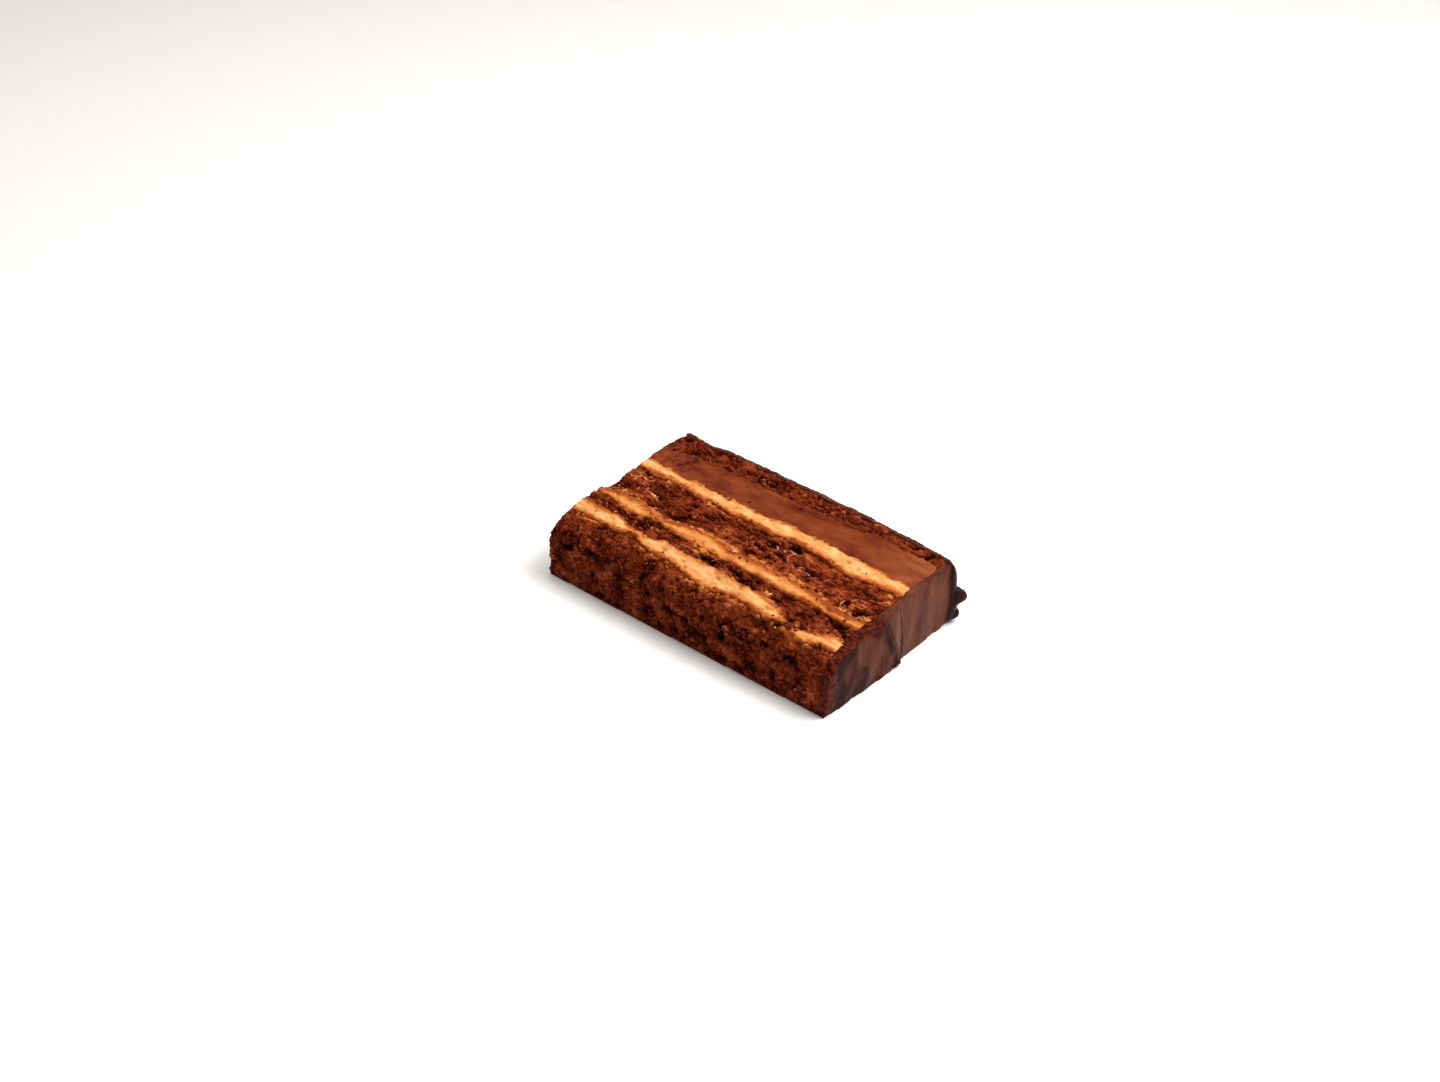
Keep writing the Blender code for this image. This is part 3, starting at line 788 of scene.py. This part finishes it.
ganache = {
    "dark": (0.026, 0.0050, 0.0022),
    "body": (0.082, 0.0215, 0.0105),
    "streak": (0.140, 0.0420, 0.0225),
    "bloom": (0.185, 0.0660, 0.0410),
    # crack is the painted shade in the crack and along the edge of the lap
    "crack": (0.0060, 0.0012, 0.0008),
    "lump": (0.014, 0.0030, 0.0018),
    "rust": (0.120, 0.0170, 0.0060),
    "gloss": (0.3, 0.5),
    "surface": {"Specular IOR Level": 0.035, "Coat Roughness": 0.2},
    # waves of the end, of the knife strokes on the cake's top, of the cut edge and of the crumb over it
    "upright": ((0.26, (5.0, 5.0, 9.0), 15.0), (0.06, (1.4, 1.4, 14.0), 16.0)),
    "strokes": ((0.30, (26.0, 6.0, 6.0), 44.0), (0.12, (16.0, 3.0, 1.8), 45.0)),
    "torn": ((0.34, (2.6, 2.6, 2.6), 20.0), (0.26, (1.1, 1.1, 1.1), 21.0)),
    "ragged": ((1.0, (3.0, 3.0, 2.0), 28.0), (0.5, (1.2, 1.2, 1.2), 29.0)),
    # the crack and the edge of the lap on the end face: (place across the end, height) in millimetres
    "crackLine": ((2.2, 25.0), (3.4, 17.0), (4.2, 8.5), (4.8, 0.0)),
    "lapLine": ((-6.6, 25.0), (-4.6, 19.0), (-2.0, 13.0), (2.0, 5.0), (3.2, 0.0)),
    # the hollows behind the blobs on the corner: place, reach and fill in millimetres
    "necks": (((62.1, 34.5, 8.2), 2.6, 1.2), ((61.9, 34.3, 12.6), 2.3, 1.1), ((61.6, 33.9, 4.6), 2.2, 1.0),
              ((61.4, 33.7, 1.6), 1.8, 0.8)),
    # the torn flake at the foot of the end: middle, reach and how far it stands out in millimetres
    "foot": ((1.0, 1.4), (4.2, 2.0), 0.9),
    # darker and reddish places on the end: middle and reach (across, height) in millimetres, and how strong
    "darkCorner": ((-29.5, 5.0), (2.4, 3.2), 0.3),
    "rustBlots": (((-9.5, 11.0), (2.4, 7.0), 1.0), ((15.0, 12.0), (1.3, 7.0), 0.8)),
}


def blot(across, height, place, reach, power=2):
    # 1 at the place, fading out at its reach
    return np.exp(-((across - place[0]) / reach[0]) ** power - ((height - place[1]) / reach[1]) ** power)


def lineAt(line, heights):
    ordered = sorted(line, key=lambda spot: spot[1])
    return np.interp(heights, [spot[1] for spot in ordered], [spot[0] for spot in ordered])


def makeGanache(name):
    material, tree, shader, place = newMaterial(name, ganache["surface"])
    names = ("crumbed", "grooveShade", "shadePanel", "lumpy", "rusty", "onCakeTop")
    crumbed, grooveShade, shadePanel, lumpy, rusty, onCakeTop = readValues(tree, *names)
    mapped = stretchPlace(tree, (-1300, 0), place, (1.0, 1.0, 0.22))
    streaks = addPatches(tree, (-1050, 0), mapped, 2.2, 0.45, 0.25)
    broad = addPatches(tree, (-1050, -250), mapped, 7.0, 0.5, 0.3)
    # calmer strokes along the cake's top
    along = stretchPlace(tree, (-1300, -1000), place, (0.12, 1.0, 0.8))
    strokes = addPatches(tree, (-1050, -1000), along, 4.5, 0.45, 0.3)
    calm = addMix(tree, (-1000, -900), 0.55, strokes["Value"], (0.5, 0.5, 0.5))
    fineTone = addMix(tree, (-950, 300), onCakeTop, streaks["Value"], calm)
    broadTone = addMix(tree, (-950, -100), onCakeTop, broad["Value"], calm)
    grain = addGrain(tree, (-1050, -500), place, 0.8, 0.1, 0.1)
    level = addSum(tree, (-800, 200), addTimes(tree, (-900, 200), fineTone, 0.30),
                   addTimes(tree, (-900, 60), broadTone, 0.68), addTimes(tree, (-850, 300), onCakeTop, -0.20),
                   addTimes(tree, (-850, 400), shadePanel, -1.0))
    colour = addRamp(tree, (-550, 200), level, [
        (0.10, ganache["dark"]), (0.42, ganache["body"]), (0.75, ganache["streak"]),
        (0.95, ganache["bloom"])])
    rubbed = addPatches(tree, (-1050, -750), place, 1.6, 0.5, 0.3)
    crumbColour = addRamp(tree, (-550, 450), rubbed["Value"], [
        (0.1, sponge["hole"]), (0.45, sponge["deep"]), (0.85, sponge["body"])])
    ragged = addMath(tree, (-700, 700), "ADD", crumbed, addTimes(tree, (-800, 700), rubbed["Value"], 0.5))
    colour = addMix(tree, (-300, 300), addRise(tree, (-500, 700), ragged, 0.55, 4.0), colour, crumbColour)
    colour = addMix(tree, (-200, 300), rusty, colour, ganache["rust"], 0.8)
    colour = addMix(tree, (-100, 300), lumpy, colour, ganache["lump"], 0.9)
    # the crack and the edge of the lap are painted near-black as painted shade
    tree.links.new(addMix(tree, (-50, 300), grooveShade, colour, ganache["crack"]), shader["Base Color"])
    addGloss(tree, shader, fineTone, ganache["gloss"])
    tree.links.new(addTimes(tree, (-300, -250), lumpy, 0.08), shader["Coat Weight"])
    height = addMath(tree, (-400, -500), "ADD", addTimes(tree, (-500, -500), grain["Height"], 0.4), fineTone)
    addBump(tree, shader, height, 0.12, 0.25)
    return material


def coatGanache():
    nodeName = "ganache_coat"
    piece = roughCopy(nodeName, "ganache_spread", meshFineness["fine"])
    base = readPoints(piece)
    normals = readNormals(piece)
    apart, toward = lookAround(base, otherTrees[nodeName])
    shown = ease(apart, 0.6, 1.6) * ease(base[:, 2], 0.3 * mm, 1.2 * mm)
    across, height = base[:, 1] / mm, base[:, 2] / mm
    onEnd = ease(normals[:, 0], 0.5, 0.85) * ease(base[:, 0], 58.0 * mm, 60.0 * mm)
    onCakeTop = ease(normals[:, 1], 0.5, 0.85) * ease(across, 30.0, 32.0)
    relief = waves(base, *ganache["upright"]) * (1.0 - onCakeTop)
    relief += waves(base, *ganache["strokes"]) * onCakeTop
    relief += 0.04 * noiseAt(base, (0.9, 0.9, 2.0), 17.0)
    fromCrack = across - lineAt(ganache["crackLine"], height) - 0.3 * noiseAt(base, (4.0, 4.0, 2.0), 18.0)
    crack = np.exp(-(fromCrack / 0.36) ** 2) * onEnd * ease(height, 0.5, 4.0)
    crack *= 0.45 + 0.55 * ease(noiseAt(base, (9.0, 9.0, 4.0), 23.0), -0.25, 0.15)
    fromLap = across - lineAt(ganache["lapLine"], height) - 0.5 * noiseAt(base, (4.0, 4.0, 3.0), 19.0)
    lap = np.exp(-(fromLap / 0.5) ** 2) * onEnd
    lip = 0.45 * np.exp(-((fromLap + 1.3) / 0.9) ** 2) * onEnd
    # the cut edge of the coat is torn where the knife left it, and soft at the far part of the end
    onTop = ease(normals[:, 2], 0.35, 0.8)
    softPart = ease(across, 2.0, 10.0) * ease(base[:, 0], 56.0 * mm, 58.0 * mm)
    torn = waves(base, *ganache["torn"])
    underside = ease(-normals[:, 1], 0.3, 0.7) * (1.0 - ease(across, -33.0, -30.0))
    tornPart = np.maximum(onTop * (1.0 - 0.7 * softPart), 1.2 * underside)
    push = relief + lip - 0.8 * crack - 0.4 * lap + torn * tornPart
    for place, reach, fill in ganache["necks"]:
        gap = np.linalg.norm(base / mm - np.array(place), axis=1)
        push += fill * np.exp(-(gap / reach) ** 2)
    place, reach, standOut = ganache["foot"]
    flake = blot(across, height, place, reach, 4)
    push += standOut * flake * onEnd * ease(noiseAt(base, (1.8, 1.8, 1.8), 27.0), -0.35, 0.25)
    carved = base + normals * (push * shown * mm)[:, None]
    settle(piece, base, carved + closeWalls(base, apart, toward, 1.0, 0.35))
    storeValues(piece, "onCakeTop", onCakeTop)
    # the crack and the edge of the lap, to be painted dark as painted shade
    storeValues(piece, "grooveShade", np.clip(crack * 1.1 + 0.5 * lap, 0.0, 1.0))
    # crumb rubbed over the cut edge: all of it near the cake's underside, else the half beside the sponge
    byCake = 1.0 - ease(distanceTo(base, otherTrees[nodeName], 4.0), 0.6, 1.5)
    nearUnderside = 1.0 - ease(across, -14.0, 1.0)
    cutEdge = np.maximum(byCake * (1.0 - 0.6 * softPart), 0.85 * nearUnderside)
    cutEdge *= ease(normals[:, 2], 0.2, 0.7)
    # it also hangs over the upper edge of the end and its near corner
    ragged = waves(base, *ganache["ragged"])
    overhang = ease(height + 3.2 * ragged, 18.5, 22.5) * nearUnderside
    nearCorner = across + 3.0 * ragged - 1.5 * ease(height, 14.0, 24.0)
    overhang = np.maximum(overhang, 1.0 - ease(nearCorner, -32.2, -30.6))
    cutEdge = np.maximum(cutEdge, 0.8 * overhang * onEnd)
    storeValues(piece, "crumbed", np.maximum(cutEdge, underside))
    nearPanel = (1.0 - ease(fromLap, -0.6, 0.4)) * onEnd
    lighter = 1.0 - 0.75 * ease(noiseAt(base, (6.0, 6.0, 9.0), 24.0), -0.05, 0.3)
    place, reach, amount = ganache["darkCorner"]
    darkCorner = amount * onEnd * blot(across, height, place, reach)
    storeValues(piece, "shadePanel", 0.42 * nearPanel * lighter + 0.10 * onTop + darkCorner)
    farCorner = ease(across + 0.5 * noiseAt(base, 2.0, 26.0), 30.0, 31.6)
    storeValues(piece, "lumpy", ease(base[:, 0], 57.5 * mm, 59.5 * mm) * farCorner)
    # reddish patches where the crumb shines through, low on the near part and in a streak on the far one
    rust = sum(amount * blot(across, height, place, reach) for place, reach, amount in ganache["rustBlots"])
    patchy = 0.45 + 0.55 * ease(noiseAt(base, (1.6, 1.6, 6.0), 25.0), -0.2, 0.3)
    storeValues(piece, "rusty", rust * onEnd * patchy)
    finishPiece(piece, nodeName, makeGanache("ganache_coat_material"))
    return piece, shown


# crumbs, bits of cream and flakes

crumbShapes = {"count": 6, "unevenness": 0.75, "keptFaces": 0.6}
curlShapes = {
    "turns": (70.0, 120.0, 95.0, 150.0),
    "width": (0.10, 0.08, 0.12, 0.09),
    "radius": 0.42,
    "thickness": 0.05,
    "steps": 7,
    "lift": 0.08,
    "dark": (0.260, 0.056, 0.0180),
    "middle": (0.420, 0.135, 0.0560),
    "light": (0.560, 0.225, 0.1050),
}
# curls at their own places on the cut face, layer by layer: place and size in millimetres, and tone
placedCurls = (
    ("sponge_middle", (
        (11.2, 1.2, 6.4, 0.75), (14.8, 0.4, 7.6, 0.85), (18.6, -1.0, 6.2, 0.7), (25.0, -2.9, 6.6, 0.55),
        (28.6, -4.2, 7.0, 0.6), (31.8, -5.4, 6.0, 0.5), (46.2, -7.9, 6.6, 0.85), (49.6, -10.2, 8.4, 0.9),
        (53.2, -12.4, 7.8, 0.8), (56.2, -14.2, 5.8, 0.95), (50.2, -4.6, 5.2, 0.8), (55.6, 4.6, 5.0, 0.6),
        (-55.6, 2.8, 6.2, 0.9), (-50.4, 4.4, 5.6, 0.75), (-46.8, -1.6, 6.4, 0.85), (-40.2, -4.0, 5.4, 0.7))),
    ("sponge_lower", ((-49.0, -14.2, 5.4, 0.9), (-36.8, -15.4, 4.6, 1.0), (-29.0, -18.6, 5.2, 0.8))),
    ("sponge_middle", ((60.0, 8.6, 4.6, 0.8),)),
)


def takeShape(piece, points):
    faces = np.array([face.vertices[:] for face in piece.data.polygons])
    bpy.data.objects.remove(piece)
    return points, faces


def modelCrumbs():
    # torn lumps about one unit across
    shapes = []
    for index in range(crumbShapes["count"]):
        deselectAll()
        bpy.ops.mesh.primitive_ico_sphere_add(subdivisions=2, radius=0.5, location=(0.0, 0.0, 0.0))
        crumb = bpy.context.active_object
        selectAllInside(crumb)
        bpy.ops.transform.vertex_random(offset=0.10, uniform=0.6, seed=index + 3)
        bpy.ops.transform.resize(value=(1.0, 0.5 + 0.08 * index, 0.42 + 0.06 * index))
        bpy.ops.mesh.decimate(ratio=crumbShapes["keptFaces"])
        bpy.ops.object.mode_set(mode="OBJECT")
        points = readPoints(crumb)
        points *= (1.0 + crumbShapes["unevenness"] * noiseAt(points * mm, 0.33, 30.0 + index))[:, None]
        shapes.append(takeShape(crumb, points))
    return shapes


def modelCurls():
    # shaved curls about one unit across: a small section spun round, thinned to both tips and lifted at one
    shapes = []
    for index, turn in enumerate(curlShapes["turns"]):
        deselectAll()
        bpy.ops.mesh.primitive_plane_add(size=1.0, location=(0.0, 0.0, 0.0))
        curl = bpy.context.active_object
        selectAllInside(curl)
        bpy.ops.transform.resize(value=(curlShapes["width"][index], curlShapes["thickness"], 1.0))
        bpy.ops.transform.rotate(value=math.pi / 2.0, orient_axis="X", center_override=(0.0, 0.0, 0.0))
        bpy.ops.transform.translate(value=(curlShapes["radius"], 0.0, 0.0))
        bpy.ops.mesh.spin(steps=curlShapes["steps"], angle=math.radians(turn), center=(0.0, 0.0, 0.0),
                          axis=(0.0, 0.0, 1.0))
        bpy.ops.mesh.select_all(action="SELECT")
        bpy.ops.mesh.remove_doubles(threshold=0.0001)
        bpy.ops.mesh.fill_holes(sides=4)
        bpy.ops.mesh.normals_make_consistent(inside=False)
        bpy.ops.mesh.quads_convert_to_tris()
        bpy.ops.object.mode_set(mode="OBJECT")
        points = readPoints(curl)
        turned = np.arctan2(points[:, 1], points[:, 0]) * np.sign(points[:, 1].sum())
        share = np.clip(np.mod(turned + 0.01, 2.0 * math.pi) / math.radians(turn), 0.0, 1.0)
        thin = 0.25 + 0.75 * np.sin(math.pi * share)
        radius = np.hypot(points[:, 0], points[:, 1])
        middle = curlShapes["radius"]
        points[:, :2] *= ((middle + (radius - middle) * thin) / radius)[:, None]
        points[:, 2] = points[:, 2] * thin + curlShapes["lift"] * share
        points -= points.mean(axis=0)
        shapes.append(takeShape(curl, points))
    return shapes


def joinCopies(name, shapes, spots):
    # one mesh of many copies; each spot is (place, facing, size, tone)
    points, faces, tones = [], [], []
    start = 0
    for place, facing, size, tone in spots:
        shape, shapeFaces = shapes[picks.randrange(len(shapes))]
        turn = facing.to_track_quat("Z", "Y").to_matrix() @ Matrix.Rotation(picks.uniform(0.0, 6.28), 3, "Z")
        points.append(shape * size @ np.array(turn).T + np.array(place))
        faces.append(shapeFaces + start)
        tones.append(np.full(len(shape), tone))
        start += len(shape)
    points, faces, tones = np.concatenate(points), np.concatenate(faces), np.concatenate(tones)
    mesh = bpy.data.meshes.new(name)
    mesh.from_pydata(keepInside(points).tolist(), [], faces.tolist())
    piece = bpy.data.objects.new(name, mesh)
    bpy.context.scene.collection.objects.link(piece)
    storeValues(piece, "tone", tones)
    return piece


def spotsOn(nodeName, count, sizes, tones, wanted=None, lift=0.08, lean=0.0):
    # places on the faces that show, the same each run; most pieces are small
    piece, shown = made[nodeName]
    points, normals = readPoints(piece), readNormals(piece)
    odds = (shown > 0.5) * (1.0 if wanted is None else wanted(piece, points, normals))
    candidates = np.flatnonzero(odds > 0.0)
    chosen = picks.choices(candidates.tolist(), weights=odds[candidates].tolist(), k=count)
    spots = []
    for index in chosen:
        size = (sizes[0] + (sizes[1] - sizes[0]) * picks.random() ** 2.2) * mm
        facing = Vector(normals[index])
        tilt = Vector((picks.uniform(-1.0, 1.0), picks.uniform(-1.0, 1.0), picks.uniform(-1.0, 1.0))) * lean
        place = Vector(points[index]) + facing * size * lift
        spots.append((place, (facing + tilt).normalized(), size, picks.uniform(*tones)))
    return spots


def spotAt(nodeName, x, y, size, tone, lift=0.02):
    # the place on a layer's cut face nearest to x and y
    piece = made[nodeName][0]
    points, normals = readPoints(piece), readNormals(piece)
    reach = np.hypot(points[:, 0] - x * mm, points[:, 1] - y * mm) + (normals[:, 2] < 0.3)
    index = int(np.argmin(reach))
    lean = Vector((picks.uniform(-0.35, 0.35), picks.uniform(-0.35, 0.35), 1.2))
    facing = (Vector(normals[index]) + lean).normalized()
    return Vector(points[index]) + facing * size * lift * mm, facing, size * mm, tone


def readAttribute(piece, name):
    values = np.empty(len(piece.data.vertices), dtype=np.float32)
    piece.data.attributes[name].data.foreach_get("value", values)
    return values


def onTopFace(piece, points, normals):
    return normals[:, 2] > 0.4


def onDaub(name):
    # the named places alone
    return lambda piece, points, normals: (normals[:, 2] > 0.2) * ease(readAttribute(piece, name), 0.3, 0.8)


def atInnerEnd(piece, points, normals):
    return (normals[:, 2] > 0.2) * (0.04 + (1.0 - ease(points[:, 0], -60.0 * mm, -42.0 * mm)))


def alongCream(name):
    # the part of a face that the cream's edge runs along
    return lambda piece, points, normals: (normals[:, 2] > 0.2) * readAttribute(piece, name) ** 2


def makeCrumb(name, stops, roughness, glint=0.0):
    surface = {"Roughness": roughness, "Specular IOR Level": 0.04, "Coat Weight": glint,
               "Coat Roughness": 0.25}
    material, tree, shader, place = newMaterial(name, surface)
    tone = readValue(tree, (-1500, 400), "tone")
    grain = addGrain(tree, (-1050, 0), place, 0.5, 0.3, 0.2)
    # the colour follows each piece's tone and, finely, the grain's height, so the grain's hollows come out
    # darker as painted shade
    level = addSum(tree, (-700, 200), tone, addSwing(tree, (-850, 100), grain["Height"], 0.8, 0.5))
    tree.links.new(addRamp(tree, (-450, 200), level, stops), shader["Base Color"])
    addBump(tree, shader, grain["Height"], 0.8, 0.3)
    return material


def scatter(*places):
    # each place is (pieces on each layer, sizes, tones, where on the layer, lift, lean)
    return [spot for counts, *settings in places for nodeName, count in counts.items()
            for spot in spotsOn(nodeName, count, *settings)]


def addSmallPiece(piece, material):
    piece.data.materials.append(material)
    pick(piece)
    bpy.ops.object.shade_smooth()
    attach(piece, "root")


made = {}
for nodeName in spongeLayers:
    made[nodeName] = carveSponge(nodeName)
for nodeName in creamLayers:
    made[nodeName] = spreadCream(nodeName)
made["fudge_layer"] = layFudge()
made["ganache_coat"] = coatGanache()

crumbModels = modelCrumbs()
curlModels = modelCurls()
# the crumbs take the sponge's colours, from the painted shade of its pits to the painted highlight of its
# tips
crumbStops = [(0.0, sponge["pit"]), (0.3, sponge["deep"]), (0.6, sponge["body"]), (0.85, sponge["high"]),
              (1.0, sponge["tipHighlight"])]
crumbSpots = scatter(
    ({"sponge_bottom": 420, "sponge_lower": 200, "sponge_middle": 340, "sponge_top": 300},
     (0.5, 2.2), (0.25, 0.85), None, -0.10),
    ({"cream_lower": 46, "cream_middle": 52, "cream_upper": 44}, (0.4, 1.5), (0.3, 0.8),
     alongCream("stained"), -0.06),
    ({"cream_lower": 5, "cream_middle": 7, "cream_upper": 5, "fudge_layer": 8}, (0.3, 0.9), (0.2, 0.6),
     onTopFace, -0.05),
    ({"cream_lower": 54}, (0.5, 1.7), (0.3, 0.85), onDaub("covered"), -0.08),
    ({"ganache_coat": 60}, (0.4, 1.6), (0.2, 0.6), alongCream("crumbed"), -0.14))
crumbs = joinCopies("sponge_crumbs", crumbModels, crumbSpots)
addSmallPiece(crumbs, makeCrumb("sponge_crumb_material", crumbStops, 0.65, 0.04))

creamStops = [(0.0, cream["stain"]), (0.35, cream["warm"]), (0.7, cream["body"]), (1.0, cream["bright"])]
bitSpots = scatter(
    ({"sponge_middle": 60, "sponge_lower": 36, "sponge_bottom": 40}, (0.4, 1.6), (0.0, 0.6),
     alongCream("smeared"), -0.12),
    ({"sponge_middle": 16, "sponge_lower": 12}, (0.8, 2.6), (0.1, 0.8), atInnerEnd, -0.14),
    ({"sponge_middle": 12, "sponge_lower": 9}, (0.9, 2.6), (0.3, 0.9), onDaub("daubed"), -0.14))
bits = joinCopies("cream_bits", crumbModels, bitSpots)
addSmallPiece(bits, makeCrumb("cream_bit_material", creamStops, 0.5))

curlStops = [(0.0, sponge["body"]), (0.35, curlShapes["dark"]), (0.75, curlShapes["middle"]),
             (1.0, curlShapes["light"])]
curlSpots = [spotAt(nodeName, *curl) for nodeName, curls in placedCurls for curl in curls] + scatter(
    ({"sponge_middle": 44, "sponge_lower": 18}, (2.4, 6.4), (0.0, 0.65), onTopFace, 0.0, 0.3),
    ({"sponge_middle": 16, "sponge_lower": 8}, (2.4, 6.0), (0.2, 0.85), atInnerEnd, 0.0, 0.3))
curls = joinCopies("chocolate_curls", curlModels, curlSpots)
addSmallPiece(curls, makeCrumb("curl_material", curlStops, 0.5, 0.03))
print("crumbs, bits and curls scattered")


# floor, light and camera

floorLook = {"size": 6.0, "colour": (0.89, 0.87, 0.85)}


def layFloor():
    deselectAll()
    bpy.ops.mesh.primitive_plane_add(size=floorLook["size"], location=(0.0, 0.0, 0.0))
    floor = bpy.context.active_object
    floor.name = "floor"
    bpy.ops.object.mode_set(mode="EDIT")
    bpy.ops.mesh.subdivide(number_cuts=3)
    bpy.ops.object.mode_set(mode="OBJECT")
    material, tree, shader, place = newMaterial("floor_material", {"Roughness": 0.75})
    fibres = addNode(tree, "ShaderNodeTexNoise", (-900, 0), {"Vector": place, "Scale": 60.0, "Detail": 4.0})
    low = tuple(value * 0.985 for value in floorLook["colour"])
    tone = addRamp(tree, (-500, 0), fibres.outputs["Fac"], [(0.3, low), (0.7, floorLook["colour"])])
    tree.links.new(tone, shader["Base Color"])
    floor.data.materials.append(material)


lamps = {
    # name: (direction from the slice, distance, size, power)
    "key": ((0.62, 0.55, 1.15), 0.9, 0.55, 10.0),
    "top": ((-0.25, 0.10, 1.0), 1.1, 0.9, 6.0),
}
skyLight = {"colour": (1.0, 0.985, 0.965), "strength": 0.36}


def hangLamps():
    for name, (direction, distance, size, power) in lamps.items():
        toward = Vector(direction).normalized()
        bpy.ops.object.light_add(type="AREA", location=toward * distance)
        lamp = bpy.context.active_object
        lamp.name = name + "_lamp"
        lamp.data.size = size
        lamp.data.energy = power
        lamp.rotation_euler = toward.to_track_quat("Z", "Y").to_euler()
    world = bpy.data.worlds.new("softStudio")
    world.use_nodes = True
    background = world.node_tree.nodes["Background"]
    background.inputs["Color"].default_value = (*skyLight["colour"], 1.0)
    background.inputs["Strength"].default_value = skyLight["strength"]
    bpy.context.scene.world = world


shot = {
    "azimuth": 41.5,
    "elevation": 34.5,
    "lens": 45.0,
    "imageSize": (1440.0, 1082.0),
    "corner": (62.0, -33.0, 0.0),  # the near corner of the slice's foot, in millimetres
    "cornerPixel": (829.0, 714.8),
    "cornerDistance": 0.5773,
}


def setCamera():
    turn, tilt = math.radians(shot["azimuth"]), math.radians(shot["elevation"])
    right = Vector((math.cos(turn), math.sin(turn), 0.0))
    ahead = Vector((-math.sin(turn) * math.cos(tilt), math.cos(turn) * math.cos(tilt), -math.sin(tilt)))
    up = right.cross(ahead)
    width, height = shot["imageSize"]
    focal = shot["lens"] / 36.0 * width
    across = (shot["cornerPixel"][0] - width / 2.0) / focal
    down = (shot["cornerPixel"][1] - height / 2.0) / focal
    ray = ahead + across * right - down * up
    bpy.ops.object.camera_add()
    camera = bpy.context.active_object
    camera.data.lens = shot["lens"]
    camera.data.clip_start = 0.01
    turned = Matrix((right, up, -ahead)).transposed().to_4x4()
    eye = Vector(shot["corner"]) * mm - ray * shot["cornerDistance"]
    camera.matrix_world = Matrix.Translation(eye) @ turned
    bpy.context.scene.camera = camera
    bpy.context.scene.view_settings.view_transform = "Standard"


layFloor()
hangLamps()
setCamera()
print("floor, light and camera set")
